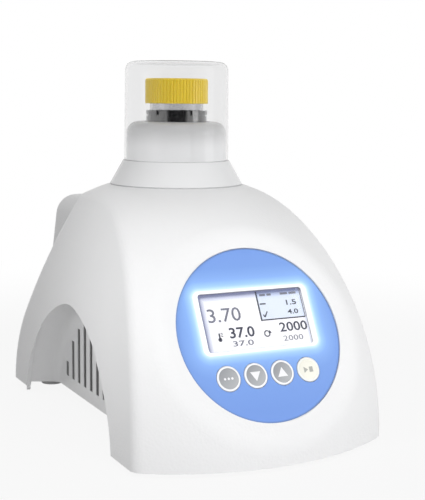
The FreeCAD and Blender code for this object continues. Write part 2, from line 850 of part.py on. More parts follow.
def clear_cover():
    """Clear cup, open below, whose rim stands on the collar's ledge."""
    low = collar_ledge_z + rest_gap
    outer_top = cover_outer_radius - cover_draft
    inner_corner = cover_corner_radius - cover_wall
    inner_top = cover_top_z - cover_top_wall

    def corner(radius, top, size):
        slant = size * (1 - math.sqrt(0.5))
        return arc(V(radius, 0, top - size), V(radius - slant, 0, top - slant), V(radius - size, 0, top))

    return turned_edges([
        line(V(cover_inner_radius, 0, low), V(cover_outer_radius, 0, low)),
        line(V(cover_outer_radius, 0, low), V(outer_top, 0, cover_top_z - cover_corner_radius)),
        corner(outer_top, cover_top_z, cover_corner_radius),
        line(V(outer_top - cover_corner_radius, 0, cover_top_z), V(0, 0, cover_top_z)),
        line(V(0, 0, cover_top_z), V(0, 0, inner_top)),
        line(V(0, 0, inner_top), V(cover_inner_radius - inner_corner, 0, inner_top)),
        corner(cover_inner_radius, inner_top, inner_corner),
        line(V(cover_inner_radius, 0, inner_top - inner_corner), V(cover_inner_radius, 0, low)),
    ])


# ---------------------------------------------------------------------------
# Rotor: sleeve, grip ring, seal, tube and cap
# ---------------------------------------------------------------------------
def rotor_sleeve():
    """Cup that holds the tube all the way up, with windows for the light sensor."""
    cone_z = tube_tip_z + tube_cone_length
    sleeve = turned([
        (0, sleeve_floor_z), (sleeve_radius, sleeve_floor_z), (sleeve_radius, sleeve_top_z),
        (tube_bore, sleeve_top_z), (tube_bore, cone_z),
        (tube_tip_radius + seat_gap, tube_tip_z - seat_gap), (0, tube_tip_z - seat_gap),
    ])
    groove = rod(o_ring_radius * 2 + tube_radius + running_gap, o_ring_z - o_ring_radius - running_gap,
                 o_ring_z + o_ring_radius + running_gap)
    windows = [rod_side(sleeve_window_radius, -sleeve_radius - 1, sleeve_radius + 1, 0, sensor_z),
               rod_back(sleeve_window_radius, -sleeve_radius - 1, sleeve_radius + 1, 0, sensor_z)]
    return sleeve.cut(group([groove] + windows))


def grip_ring():
    """Black two-tier ring that grips the tube, with notches for the fingers in the upper tier."""
    groove_z = (collar_top_z + grip_top_z) / 2
    ring = turned([
        (tube_bore, sleeve_top_z), (grip_radius, sleeve_top_z), (grip_radius, groove_z),
        (grip_radius - grip_groove, groove_z), (grip_radius - grip_groove, groove_z + grip_groove),
        (grip_radius, groove_z + grip_groove), (grip_radius, grip_top_z), (tube_bore, grip_top_z),
    ])
    notches = []
    for i in range(grip_notch_count):
        notch = box(grip_radius - 2 * grip_groove, far / 10, -grip_notch_width / 2, grip_notch_width / 2,
                    groove_z + grip_groove, grip_top_z + 1)
        notch.rotate(V(0, 0, 0), V(0, 0, 1), 360 * (i + 0.5) / grip_notch_count)
        notches.append(notch)
    return ring.cut(group(notches))


def tube_o_ring():
    return Part.makeTorus(tube_radius + running_gap + o_ring_radius, o_ring_radius, V(0, 0, o_ring_z))


def culture_tube():
    """Conical-bottomed tube with a thin wall, open at its rim."""
    cone_z = tube_tip_z + tube_cone_length
    return turned([
        (0, tube_tip_z), (tube_tip_radius, tube_tip_z), (tube_radius, cone_z), (tube_radius, tube_rim_z),
        (tube_radius - tube_wall, tube_rim_z), (tube_radius - tube_wall, cone_z),
        (tube_tip_radius - tube_wall / 2, tube_tip_z + tube_wall), (0, tube_tip_z + tube_wall),
    ])


def tube_cap():
    """Ribbed screw cap with a vented top."""
    step = 2 * math.pi / cap_rib_count
    valley = cap_radius - cap_rib_depth
    corners = []
    for i in range(cap_rib_count):
        for share, radius in ((0, cap_radius), (cap_rib_land, cap_radius), (cap_rib_foot, valley)):
            angle = (i + share) * step
            corners.append(V(radius * math.cos(angle), radius * math.sin(angle), cap_low_z))
    ribbed = Part.Face(Part.makePolygon(corners + corners[:1])).extrude(V(0, 0, cap_top_z - cap_low_z))
    edge = cap_edge_radius
    rounded = turned([
        (0, cap_low_z), (cap_radius - edge / 3, cap_low_z), (cap_radius, cap_low_z + edge / 3),
        (cap_radius, cap_top_z - edge), (cap_radius - edge, cap_top_z), (0, cap_top_z),
    ])
    bore = rod(tube_radius + cap_clearance, cap_low_z - 1, cap_top_z - cap_top_wall)
    vents = []
    for i in range(cap_vent_count):
        angle = 2 * math.pi * i / cap_vent_count
        vents.append(rod(cap_vent_radius, cap_low_z, cap_top_z + 1, cap_vent_circle * math.cos(angle),
                         cap_vent_circle * math.sin(angle)))
    return ribbed.common(rounded).cut(group([bore] + vents))


def cap_filter():
    """Gas-exchange membrane and seal, clipped under the cap's top."""
    top = cap_top_z - cap_top_wall
    return rod(tube_radius + cap_clearance - seat_gap, top - filter_thickness, top)


# ---------------------------------------------------------------------------
# Drive: frame, motor, shaft and coupling
# ---------------------------------------------------------------------------
def block_post_places():
    return [(x, y) for x in (-block_post_x, block_post_x) for y in (-block_post_y, block_post_y)]


def motor_screw_places():
    half = motor_screw_circle * math.sqrt(0.5)
    return [(x, y) for x in (-half, half) for y in (-half, half)]


def motor_frame():
    """Bent sheet frame that stands on the base plate and carries the motor and thermal block."""
    w, d, t = frame_half_width, frame_half_depth, frame_leg_thickness
    top = box(-w, w, -d, d, frame_plate_z, frame_top_z)
    leg = box(w - t, w, -d, d, base_top_z, frame_plate_z)
    flange = box(w - t, w + frame_flange, -d, d, base_top_z, base_top_z + t)
    frame = fused([top] + both_sides(leg) + both_sides(flange))
    bends = [e for e in frame.Edges if e.BoundBox.YLength > d and abs(abs(e.CenterOfMass.x) - w) < 0.01
             and e.CenterOfMass.z > frame_top_z - 0.01]
    frame = frame.makeFillet(frame_bend_radius, bends)
    holes = [rod(motor_boss_radius + screw_clearance, frame_plate_z - 1, frame_top_z + 1)]
    holes += [rod(screw_radius + screw_clearance, frame_plate_z - 1, frame_top_z + 1, x, y)
              for x, y in motor_screw_places() + block_post_places()]
    holes += [rod(screw_radius + screw_clearance, base_top_z - 1, base_top_z + t + 1, x, y)
              for x, y in frame_screw_places()]
    return frame.cut(group(holes))


def motor_body():
    """Sealed gear motor, hung under the frame's plate."""
    can = rod(motor_radius, motor_low_z, frame_plate_z)
    can = can.makeChamfer(motor_edge, [can.Edges[0], can.Edges[2]])
    can = can.fuse(rod(motor_boss_radius, frame_plate_z, frame_plate_z + motor_boss_height))
    holes = [rod(shaft_radius + running_gap, shaft_low_z, frame_top_z)]
    holes += [rod(screw_radius, frame_plate_z - screw_grip, frame_plate_z + 1, x, y)
              for x, y in motor_screw_places()]
    return can.cut(group(holes))


def motor_shaft():
    return rod(shaft_radius, shaft_low_z + seat_gap, sleeve_floor_z)


def drive_coupling():
    return rod(coupling_radius, coupling_low_z, sleeve_floor_z).cut(
        rod(shaft_radius, coupling_low_z - 1, sleeve_floor_z + 1))


def block_posts():
    return group([rod(block_post_radius, frame_top_z, block_low_z, x, y).cut(
        rod(screw_radius + screw_clearance, frame_top_z - 1, block_low_z + 1, x, y))
        for x, y in block_post_places()])


# ---------------------------------------------------------------------------
# Thermal block and its sensors
# ---------------------------------------------------------------------------
def thermal_block():
    block = box(-block_half_width, block_half_width, -block_half_depth, block_half_depth,
                block_low_z, block_top_z)
    holes = [rod(sleeve_radius + block_gap, block_low_z - 1, block_top_z + 1)]
    holes.append(rod_side(emitter_radius, -block_half_width - 1, block_half_width + 1, 0, sensor_z))
    holes.append(rod_back(probe_radius, -block_half_depth - 1, -block_half_depth + probe_depth, 0, probe_z))
    holes += [rod(screw_radius, block_low_z - 1, block_low_z + block_screw_grip, x, y)
              for x, y in block_post_places()]
    holes += [rod_back(screw_radius, block_half_depth - clamp_grip, block_half_depth + 1, x, peltier_middle_z)
              for x in (-clamp_x, clamp_x)]
    return block.cut(group(holes))


def insulation_jacket():
    """Foam shell round the front and sides of the thermal block."""
    t = jacket_thickness
    outer = box(-jacket_x - t, jacket_x + t, -jacket_y - t, block_half_depth, block_low_z, block_top_z)
    inner = box(-jacket_x, jacket_x, -jacket_y, block_half_depth + 1, block_low_z - 1, block_top_z + 1)
    ports = [rod_side(emitter_radius + emitter_flange + seat_gap, -jacket_x - t - 1, jacket_x + t + 1, 0,
                      sensor_z),
             rod_back(probe_radius + seat_gap, -jacket_y - t - 1, 0, 0, probe_z)]
    return outer.cut(group([inner] + ports))


def light_part(side):
    """Domed 5 mm lamp or detector that looks at the tube through the sleeve's window."""
    tip = sleeve_radius + block_gap + seat_gap + emitter_radius
    body = rod_side(emitter_radius, tip, block_half_width, 0, sensor_z)
    dome = Part.makeSphere(emitter_radius, V(tip, 0, sensor_z))
    dome = dome.common(box(0, tip, -emitter_radius, emitter_radius, sensor_z - emitter_radius,
                           sensor_z + emitter_radius))
    flange = rod_side(emitter_radius + emitter_flange, block_half_width,
                      block_half_width + emitter_flange_thickness, 0, sensor_z)
    shape = fused([body, dome, flange])
    return shape if side > 0 else shape.mirror(V(0, 0, 0), V(1, 0, 0))


def temp_sensor():
    return rod_back(probe_radius, -jacket_y - jacket_thickness, -block_half_depth + probe_depth - seat_gap,
                    0, probe_z)


def peltier_module():
    half = peltier_side / 2
    return box(-half, half, block_half_depth, sink_front_y, peltier_middle_z - half, peltier_middle_z + half)


def heat_sink():
    half = sink_side / 2
    low, high = fan_middle_z - half, fan_middle_z + half
    parts = [box(-half, half, sink_front_y, fin_front_y, low, high)]
    for i in range(sink_fin_count):
        x = -half + i * fin_pitch
        parts.append(box(x, x + sink_fin_thickness, fin_front_y, fin_front_y + sink_fin_length, low, high))
    holes = [rod_back(screw_radius + screw_clearance, sink_front_y - 1, fin_front_y + 1, x, peltier_middle_z)
             for x in (-clamp_x, clamp_x)]
    return fused(parts).cut(group(holes))


def clamp_screws():
    """Two screws that clamp the heat sink and the heat pump to the block."""
    shapes = []
    for x in (-clamp_x, clamp_x):
        head = rod_back(clamp_head_radius, fin_front_y, fin_front_y + screw_head_height, x, peltier_middle_z)
        shank = rod_back(screw_radius, block_half_depth - clamp_grip + seat_gap, fin_front_y, x,
                         peltier_middle_z)
        shapes.append(head.fuse(shank))
    return group(shapes)


# ---------------------------------------------------------------------------
# Fan
# ---------------------------------------------------------------------------
def fan_frame():
    half = fan_side / 2
    body = box(-half, half, fan_front_y, fan_rear_y, fan_middle_z - half, fan_middle_z + half)
    body = body.makeFillet(fan_corner_radius, [e for e in body.Edges if e.BoundBox.YLength > fan_depth / 2])
    holes = [rod_back(fan_bore_radius, fan_front_y - 1, fan_rear_y + 1, 0, fan_middle_z)]
    holes += [rod_back(screw_radius + screw_clearance, fan_front_y - 1, fan_rear_y + 1, x, z)
              for x, z in fan_screw_places()]
    body = body.cut(group(holes))
    struts = []
    for i in range(fan_strut_count):
        strut = box(0, fan_bore_radius + 1, fan_plate_y, fan_rear_y, fan_middle_z - fan_strut_width / 2,
                    fan_middle_z + fan_strut_width / 2)
        strut.rotate(V(0, 0, fan_middle_z), V(0, 1, 0), 360 * (i + 0.5) / fan_strut_count)
        struts.append(strut)
    plate = rod_back(fan_hub_radius, fan_plate_y, fan_rear_y, 0, fan_middle_z)
    pin = rod_back(fan_pin_radius, fan_plate_y - fan_pin_length, fan_plate_y, 0, fan_middle_z)
    return fused([body, plate, pin] + struts)


def fan_impeller():
    """Cup-shaped hub with pitched blades, running on the frame's pin."""
    front, back = fan_front_y + seat_gap, fan_plate_y - seat_gap
    hub = rod_back(fan_hub_radius, front, back, 0, fan_middle_z)
    hub = hub.cut(rod_back(fan_pin_radius + running_gap, fan_plate_y - fan_pin_length - seat_gap, back + 1, 0,
                           fan_middle_z))
    depth = back - front
    blades = []
    for i in range(fan_blade_count):
        sections = []
        for radius, share in ((fan_hub_radius - 1, 1), (fan_blade_radius, fan_blade_tip_share)):
            sections.append(blade_section(radius, front, depth, share))
        blade = Part.makeLoft(sections, True, True)
        blade.rotate(V(0, 0, fan_middle_z), V(0, 1, 0), 360 * i / fan_blade_count)
        blades.append(blade)
    return hub.multiFuse(blades)


def blade_section(radius, front, depth, share):
    """Slanting rectangle across a blade at one radius, between the hub's front and back."""
    lean = math.tan(math.radians(fan_blade_pitch)) * share
    half = depth * lean / 2
    thick = fan_blade_thickness / 2
    middle = fan_middle_z
    corners = [V(radius, front, middle - half - thick), V(radius, front, middle - half + thick),
               V(radius, front + depth, middle + half + thick),
               V(radius, front + depth, middle + half - thick)]
    return Part.makePolygon(corners + corners[:1])


def fan_screws():
    """Countersunk screws from the rear face into the fan's corners."""
    shapes = []
    for x, z in fan_screw_places():
        head = Part.makeCone(screw_radius, screw_head_radius, screw_head_height,
                             V(x, rear_plane - screw_head_height, z), V(0, 1, 0))
        slot = box(x - screw_head_radius, x + screw_head_radius,
                   rear_plane - screw_slot_depth, rear_plane + 1,
                   z - screw_slot_half_width, z + screw_slot_half_width)
        shank = rod_back(screw_radius, fan_front_y + seat_gap, rear_plane - screw_head_height, x, z)
        shapes.append(head.fuse(shank).cut(slot))
    return group(shapes)


# ---------------------------------------------------------------------------
# Control panel
# ---------------------------------------------------------------------------
def panel_overlay():
    disc = rod(overlay_radius, overlay_seat, overlay_face)
    openings = [window_block(overlay_seat - 1, 1, 0)] + button_holes(overlay_seat - 1, 1)
    return on_panel(disc.cut(group(openings)))


def display_window():
    return on_panel(window_block(window_back, overlay_seat, -window_gap))


def display_module():
    """Display in its metal frame on the control board, its glass let into the window's opening."""
    low, high = window_low - display_rim, window_high + display_rim
    body_front = panel_inner - display_gap
    body = box(-display_half_width, display_half_width, low, high, board_front, body_front)
    return on_panel(body.fuse(window_block(body_front, display_front, -window_gap)))


def control_board():
    board = rounded_box(-board_half_width, board_half_width, board_low, board_high, board_back, board_front,
                        board_post_inset)
    holes = [rod(screw_radius, board_back - 1, board_front + 1, u, v) for u, v in board_post_places()]
    return on_panel(board.cut(group(holes)))


def board_screws():
    return group([on_panel(screw(u, v, board_back, screw_grip - seat_gap, head_up=False))
                  for u, v in board_post_places()])


def tact_switches():
    half = switch_side / 2
    plunger_top = panel_inner - seat_gap - button_flange_thickness - button_travel - plunger_gap
    shapes = []
    for i in range(len(button_names)):
        u = button_u(i)
        body = box(u - half, u + half, button_v - half, button_v + half, board_front,
                   plunger_top - plunger_height)
        plunger = rod(plunger_radius, plunger_top - plunger_height, plunger_top, u, button_v)
        shapes.append(on_panel(body.fuse(plunger)))
    return group(shapes)


def push_button(i):
    """Flanged key with a raised rim, guided by its hole and held in by its flange."""
    top = overlay_face + button_proud
    flange_top = panel_inner - seat_gap
    flange_low = flange_top - button_flange_thickness
    inner = button_radius - button_lip
    key = turned([
        (0, flange_low), (button_radius + button_flange, flange_low),
        (button_radius + button_flange, flange_top), (button_radius, flange_top),
        (button_radius, top - button_lip_height / 2), (button_radius - button_lip_height, top),
        (inner, top), (inner - button_lip_height, top - button_lip_height),
        (0, top - button_lip_height),
    ])
    key.translate(V(button_u(i), button_v, 0))
    return on_panel(key)


# ---------------------------------------------------------------------------
# Rear connectors and power board
# ---------------------------------------------------------------------------
def power_board():
    board = box(power_board_left, power_board_right, power_board_front, power_board_rear, power_board_z,
                power_board_top_z)
    holes = [rod(screw_radius + screw_clearance, power_board_z - 1, power_board_top_z + 1, x, y)
             for x, y in power_board_places()]
    return board.cut(group(holes))


def power_board_screws():
    grip = board_thickness + power_board_lift - seat_gap
    return group([screw(x, y, power_board_top_z, grip) for x, y in power_board_places()])


def capacitors():
    cans = []
    for x in capacitor_xs:
        can = rod(capacitor_radius, power_board_top_z, power_board_top_z + capacitor_height, x, capacitor_y)
        cans.append(can.makeFillet(capacitor_edge, [can.Edges[0]]))
    return group(cans)


def inductor():
    half = inductor_side / 2
    return rounded_box(inductor_x - half, inductor_x + half, inductor_y - half, inductor_y + half,
                       power_board_top_z, power_board_top_z + inductor_height, half / 2)


def dc_inlet():
    """Board-mounted power inlet with its contact pin inside the barrel."""
    front = power_board_rear - inlet_depth
    mouth = bay_floor_y
    body = box(inlet_x - inlet_half_width, inlet_x + inlet_half_width, front, power_board_rear,
               power_board_top_z, power_board_top_z + inlet_height)
    ring = rod_back(inlet_ring_radius, power_board_rear, mouth, inlet_x, inlet_z)
    bore = rod_back(inlet_bore_radius, mouth - inlet_bore_length, mouth + 1, inlet_x, inlet_z)
    pin = rod_back(inlet_pin_radius, mouth - inlet_bore_length - 1, mouth - 1, inlet_x, inlet_z)
    return body.fuse(ring).cut(bore).fuse(pin)


def usb_socket():
    """Square data socket with its tongue."""
    front, mouth = power_board_rear - usb_depth, bay_floor_y
    body = box(usb_x - usb_half_width, usb_x + usb_half_width, front, mouth, usb_z - usb_height / 2,
               usb_z + usb_height / 2)
    port = box(usb_x - usb_port_half_width, usb_x + usb_port_half_width, mouth - usb_port_depth, mouth + 1,
               usb_z - usb_port_half_height, usb_z + usb_port_half_height)
    tongue = box(usb_x - usb_tongue_half_width, usb_x + usb_tongue_half_width, mouth - usb_port_depth,
                 mouth - 1, usb_z - usb_tongue_half_height, usb_z + usb_tongue_half_height)
    return body.cut(port).fuse(tongue)


def switch_block(y1, y2, inset):
    return box(switch_x - switch_half_width + inset, switch_x + switch_half_width - inset, y1, y2,
               switch_z - switch_half_height + inset, switch_z + switch_half_height - inset)


def switch_body():
    """Snap-in switch: a bezel on the bay's floor and a body behind it, hollow for the rocker."""
    bezel = switch_block(bay_floor_y, bay_floor_y + switch_bezel, 0)
    body = switch_block(bay_inner_y - switch_body_depth, bay_floor_y, switch_bezel_width)
    well = switch_block(bay_inner_y, bay_floor_y + switch_bezel + 1, 2 * switch_bezel_width)
    pin = rod_side(rocker_pin_radius, switch_x - switch_half_width + switch_bezel_width,
                   switch_x + switch_half_width - switch_bezel_width, bay_floor_y, switch_z)
    return bezel.fuse(body).cut(well).fuse(pin)


def power_rocker():
    """Rocker with two faces that meet at a shallow valley, pivoted on the switch's pin."""
    half = switch_half_height - 2 * switch_bezel_width - rocker_end_gap
    top_y = bay_floor_y + switch_bezel + rocker_rise
    valley_y = top_y - half * math.tan(math.radians(rocker_lean + rocker_valley))
    low_y = valley_y - half * math.tan(math.radians(rocker_lean - rocker_valley))
    keel_y = bay_floor_y - rocker_pin_radius - rocker_rise / 2
    outline = [
        V(0, keel_y, switch_z - rocker_pin_radius), V(0, bay_floor_y, switch_z - half),
        V(0, low_y, switch_z - half), V(0, valley_y, switch_z), V(0, top_y, switch_z + half),
        V(0, bay_floor_y, switch_z + half), V(0, keel_y, switch_z + rocker_pin_radius),
    ]
    half_x = switch_half_width - 2 * switch_bezel_width - seat_gap
    solid = Part.Face(Part.makePolygon(outline + outline[:1])).extrude(V(2 * half_x, 0, 0))
    solid.translate(V(switch_x - half_x, 0, 0))
    return solid.cut(rod_side(rocker_pin_radius + running_gap, switch_x - half_x - 1, switch_x + half_x + 1,
                              bay_floor_y, switch_z))


# ---------------------------------------------------------------------------
# All nodes
# ---------------------------------------------------------------------------
def all_nodes():
    nodes = {
        "housing_shell": housing_shell(),
        "base_plate": base_plate(),
        "base_screws": group([screw(x, y, base_low_z, base_thickness + screw_grip - seat_gap, head_up=False)
                              for x, y in base_boss_places()]),
        "neck_collar": neck_collar(),
        "collar_gasket": collar_gasket(),
        "collar_screws": group([screw(x, y, collar_seat_z - wall, wall + screw_grip, head_up=False)
                                for x, y in collar_screw_places()]),
        "upper_bush": upper_bush(),
        "clear_cover": clear_cover(),
        "rotor_sleeve": rotor_sleeve(),
        "grip_ring": grip_ring(),
        "tube_o_ring": tube_o_ring(),
        "culture_tube": culture_tube(),
        "tube_cap": tube_cap(),
        "cap_filter": cap_filter(),
        "motor_frame": motor_frame(),
        "frame_screws": group([screw(x, y, base_top_z + frame_leg_thickness,
                                     frame_leg_thickness + base_thickness - seat_gap)
                               for x, y in frame_screw_places()]),
        "motor_body": motor_body(),
        "motor_screws": group([screw(x, y, frame_top_z, frame_plate_thickness + screw_grip - seat_gap)
                               for x, y in motor_screw_places()]),
        "motor_shaft": motor_shaft(),
        "drive_coupling": drive_coupling(),
        "block_posts": block_posts(),
        "block_screws": group([screw(x, y, frame_plate_z,
                                     block_low_z - frame_plate_z + block_screw_grip - seat_gap, head_up=False)
                               for x, y in block_post_places()]),
        "thermal_block": thermal_block(),
        "insulation_jacket": insulation_jacket(),
        "ir_emitter": light_part(1),
        "light_detector": light_part(-1),
        "temp_sensor": temp_sensor(),
        "peltier_module": peltier_module(),
        "heat_sink": heat_sink(),
        "clamp_screws": clamp_screws(),
        "fan_frame": fan_frame(),
        "fan_impeller": fan_impeller(),
        "fan_screws": fan_screws(),
        "panel_overlay": panel_overlay(),
        "display_window": display_window(),
        "display_module": display_module(),
        "control_board": control_board(),
        "board_screws": board_screws(),
        "tact_switches": tact_switches(),
        "power_board": power_board(),
        "power_board_screws": power_board_screws(),
        "capacitors": capacitors(),
        "inductor": inductor(),
        "dc_inlet": dc_inlet(),
        "usb_socket": usb_socket(),
        "switch_body": switch_body(),
        "power_rocker": power_rocker(),
    }
    for i, name in enumerate(button_names):
        nodes[name] = push_button(i)
    for name, (x, y) in foot_places().items():
        nodes[name] = rubber_foot(x, y)
    return nodes


def main():
    os.makedirs("parts", exist_ok=True)
    for name, shape in all_nodes().items():
        placed = shape.copy()
        placed.translate(V(0, axis_back, foot_drop))
        placed.exportStep("parts/" + name + ".step")
        print(name, len(placed.Solids), placed.isValid(), round(placed.Volume / 1000, 2))


main()
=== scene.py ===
# %% [markdown]
# # A bench bioreactor, dressed
# The CAD frame comes in finished: every piece is a mesh in metres, already in its place. This lesson
# gives each of them a finish, makes again the few pieces that glass and close views ask more of, and
# sets the studio. It reads nothing but that frame. What the frame holds is measured on it, and the
# rest is a named value.

# %% Load the frame
import json
import math

import bmesh
import bpy
from mathutils import Matrix, Vector


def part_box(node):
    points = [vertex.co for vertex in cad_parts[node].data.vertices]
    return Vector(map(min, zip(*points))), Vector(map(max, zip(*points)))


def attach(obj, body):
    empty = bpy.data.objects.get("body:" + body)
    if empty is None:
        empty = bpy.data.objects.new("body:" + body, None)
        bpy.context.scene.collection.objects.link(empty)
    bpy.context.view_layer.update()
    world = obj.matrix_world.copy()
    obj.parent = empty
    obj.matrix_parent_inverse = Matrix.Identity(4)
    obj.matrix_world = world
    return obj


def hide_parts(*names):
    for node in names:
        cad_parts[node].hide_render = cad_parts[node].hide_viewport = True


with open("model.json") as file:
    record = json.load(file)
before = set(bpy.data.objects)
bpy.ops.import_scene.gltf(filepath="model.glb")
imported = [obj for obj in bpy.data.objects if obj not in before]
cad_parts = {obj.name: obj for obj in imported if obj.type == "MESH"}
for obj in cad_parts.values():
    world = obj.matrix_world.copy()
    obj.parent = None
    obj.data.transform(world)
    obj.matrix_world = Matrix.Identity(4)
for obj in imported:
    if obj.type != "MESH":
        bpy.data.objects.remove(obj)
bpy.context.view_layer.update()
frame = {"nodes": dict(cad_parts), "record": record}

scene = bpy.context.scene

# %% [markdown]
# ## Helpers for node trees
# Shader trees and geometry trees are both made of nodes with numbered or named sockets. One helper
# makes a node, sets its options and fills its sockets: a plain value is typed in, and another node's
# socket is linked. The others are short names for the five nodes that these trees use most.


# %% Node helpers
def fill(tree, node, inputs):
    """Type plain values into a node's input sockets, and link the sockets of other nodes."""
    for socket, value in inputs.items():
        if isinstance(value, bpy.types.NodeSocket):
            tree.links.new(value, node.inputs[socket])
        else:
            node.inputs[socket].default_value = value


def add(tree, kind, inputs=None, **options):
    """Make a node, set its options, then fill its inputs."""
    made = tree.nodes.new(kind)
    for name, value in options.items():
        setattr(made, name, value)
    fill(tree, made, inputs or {})
    return made


def maths(tree, operation, *values):
    """One Math node's result."""
    return add(tree, "ShaderNodeMath", dict(enumerate(values)), operation=operation).outputs[0]


def vector_maths(tree, operation, inputs):
    """One Vector Math node's result: a number for a length or a dot product, else a vector."""
    result = "Value" if operation in ("LENGTH", "DOT_PRODUCT") else "Vector"
    return add(tree, "ShaderNodeVectorMath", inputs, operation=operation).outputs[result]


def faded(tree, value, start, stop, before=0.0, after=1.0, curve="LINEAR"):
    """A number that goes from before to after while the value goes from start to stop."""
    inputs = {0: value, 1: start, 2: stop, 3: before, 4: after}
    return add(tree, "ShaderNodeMapRange", inputs, interpolation_type=curve).outputs[0]


def mixed(tree, share, first, second, blend_type="MIX"):
    """Two colours mixed by a share from 0 to 1."""
    return add(tree, "ShaderNodeMix", {0: share, 6: first, 7: second}, data_type="RGBA",
               blend_type=blend_type).outputs[2]


def own_place(tree):
    """Object coordinates, which are metres in the instrument's own frame."""
    return add(tree, "ShaderNodeTexCoord").outputs["Object"]


mm = 0.001
print("node helpers ready; one millimetre is", mm, "m")

# %% [markdown]
# ## The camera
# A product picture of a small instrument is taken with a long lens from a little above the bench, so
# that upright edges stay upright. The camera stands to the front left and turns a touch clockwise.
# Its three axes are worked out from the turn, the downward pitch and the roll, which is safer than
# three Euler angles that have to be combined in the right order.

# %% Camera
lens_length = 79.29
camera_turn = math.radians(27.04)
camera_pitch = math.radians(7.97)
camera_roll = 0.01109
camera_place = Vector((-0.25326, -0.52426, 0.16989))

forward = Vector((math.sin(camera_turn) * math.cos(camera_pitch),
                  math.cos(camera_turn) * math.cos(camera_pitch), -math.sin(camera_pitch)))
level_right = Vector((math.cos(camera_turn), -math.sin(camera_turn), 0))
level_up = level_right.cross(forward)
right = level_right * math.cos(camera_roll) + level_up * math.sin(camera_roll)
up = level_up * math.cos(camera_roll) - level_right * math.sin(camera_roll)

camera_data = bpy.data.cameras.new("studio_camera")
camera_data.lens = lens_length
camera = bpy.data.objects.new("studio_camera", camera_data)
camera.matrix_world = (Matrix.Translation(camera_place)
                       @ Matrix((right, up, -forward)).transposed().to_4x4())
scene.collection.objects.link(camera)
scene.camera = camera
print("camera at", tuple(round(c, 3) for c in camera_place), "lens", lens_length, "mm")

# %% [markdown]
# ## Softboxes
# A product studio lights a white instrument with large soft lamps, so that its round forms shade
# slowly. The front softbox does most of the work. The one at the right keeps that side open and
# draws one bright streak on each round shiny piece, such as the black ring and the cap. A third one
# stands low behind, and lights the rear for whoever walks round the instrument.
#
# A lamp's watts follow from the brightness wanted: a surface that faces a lamp of P watts at a
# distance d gets P / (pi d)^2 of full white. The front and rear lamps are hidden from reflections,
# as if through a polarising filter, or they would lie as grey patches on every black piece.


# %% Softboxes
def stand_lamp(lamp, aim, reach, mirrored):
    """Stand a lamp at a reach from the point that it faces."""
    stand = bpy.data.objects.new(lamp.name, lamp)
    turn = reach.to_track_quat("Z", "Y").to_matrix().to_4x4()
    stand.matrix_world = Matrix.Translation(aim + reach) @ turn
    stand.visible_glossy = mirrored
    stand.visible_transmission = mirrored
    scene.collection.objects.link(stand)
    print(lamp.name, "shines with", round(lamp.energy, 2), "W")


def softbox(name, direction, distance, wide, high, share_of_white, mirrored=True):
    """Rectangular lamp that faces the middle of the instrument."""
    lamp = bpy.data.lights.new(name, "AREA")
    lamp.shape = "RECTANGLE"
    lamp.size = wide
    lamp.size_y = high
    lamp.energy = share_of_white * (math.pi * distance) ** 2
    stand_lamp(lamp, instrument_middle, Vector(direction).normalized() * distance, mirrored)


instrument_middle = Vector((0, 0, 0.09))
softbox("front_softbox", (-0.03, -0.96, 0.28), 1.0, 0.7, 0.7, 0.53, mirrored=False)
softbox("right_softbox", (0.78, -0.60, 0.20), 1.0, 0.45, 0.9, 0.18)
softbox("rear_softbox", (0.12, 0.97, 0.16), 1.0, 0.7, 0.5, 0.26, mirrored=False)

# %% [markdown]
# The left side, with its arched recess, would lie in even shade. A snoot is a tube in front of a lamp
# that lets out a narrow cone, and a spot lamp with a fully soft edge does the same. It lays a small
# pool of light on the front of that side. A spot spreads its watts over the whole sphere, so the
# watts follow from the brightness by 2 pi d in place of pi d.

# %% Snooted lamp
snoot_share_of_white = 0.47
snoot_cone = math.radians(24)
snoot_aim = Vector((-0.068, -0.055, 0.090))
snoot_reach = Vector((-0.50, -0.12, 0.16))

snoot = bpy.data.lights.new("side_snoot", "SPOT")
snoot.spot_size = snoot_cone
snoot.spot_blend = 1.0
snoot.shadow_soft_size = 0.06
snoot.energy = snoot_share_of_white * (2 * math.pi * snoot_reach.length) ** 2
stand_lamp(snoot, snoot_aim, snoot_reach, mirrored=False)

# %% [markdown]
# ## World
# The backdrop has to be white, but a white world would wash out every shadow. The Light Path node
# tells the two uses apart: rays that come from the camera, a mirror-like reflection or through glass
# see full white, and all others, which carry the light, see a softer grey.
#
# One more thing is borrowed from the studio: a black flag stands at the front left. Rays that were
# mirrored before they leave towards it see almost nothing, so black pieces stay black in their
# middle and bright at their sides, which is what makes them look round. Mirrored light is told by
# Light Path's Glossy Depth. The view transform is Standard, so a colour shows as it is written.

# %% World
fill_light = 0.42
flag_direction = (-0.39, -0.92, 0.05)
flag_core = math.radians(28)
flag_edge = math.radians(44)
flag_depth = 0.99

world = bpy.data.worlds.new("studio")
world.use_nodes = True
scene.world = world
scene.view_settings.view_transform = "Standard"
sky = world.node_tree
sky.nodes.clear()


def seen_directly(tree):
    """1 for rays of the camera, reflections and glass, 0 for the rays that carry light."""
    path = add(tree, "ShaderNodeLightPath").outputs
    off_surface = maths(tree, "MAXIMUM", path["Is Glossy Ray"], path["Is Transmission Ray"])
    return maths(tree, "MAXIMUM", path["Is Camera Ray"], off_surface)


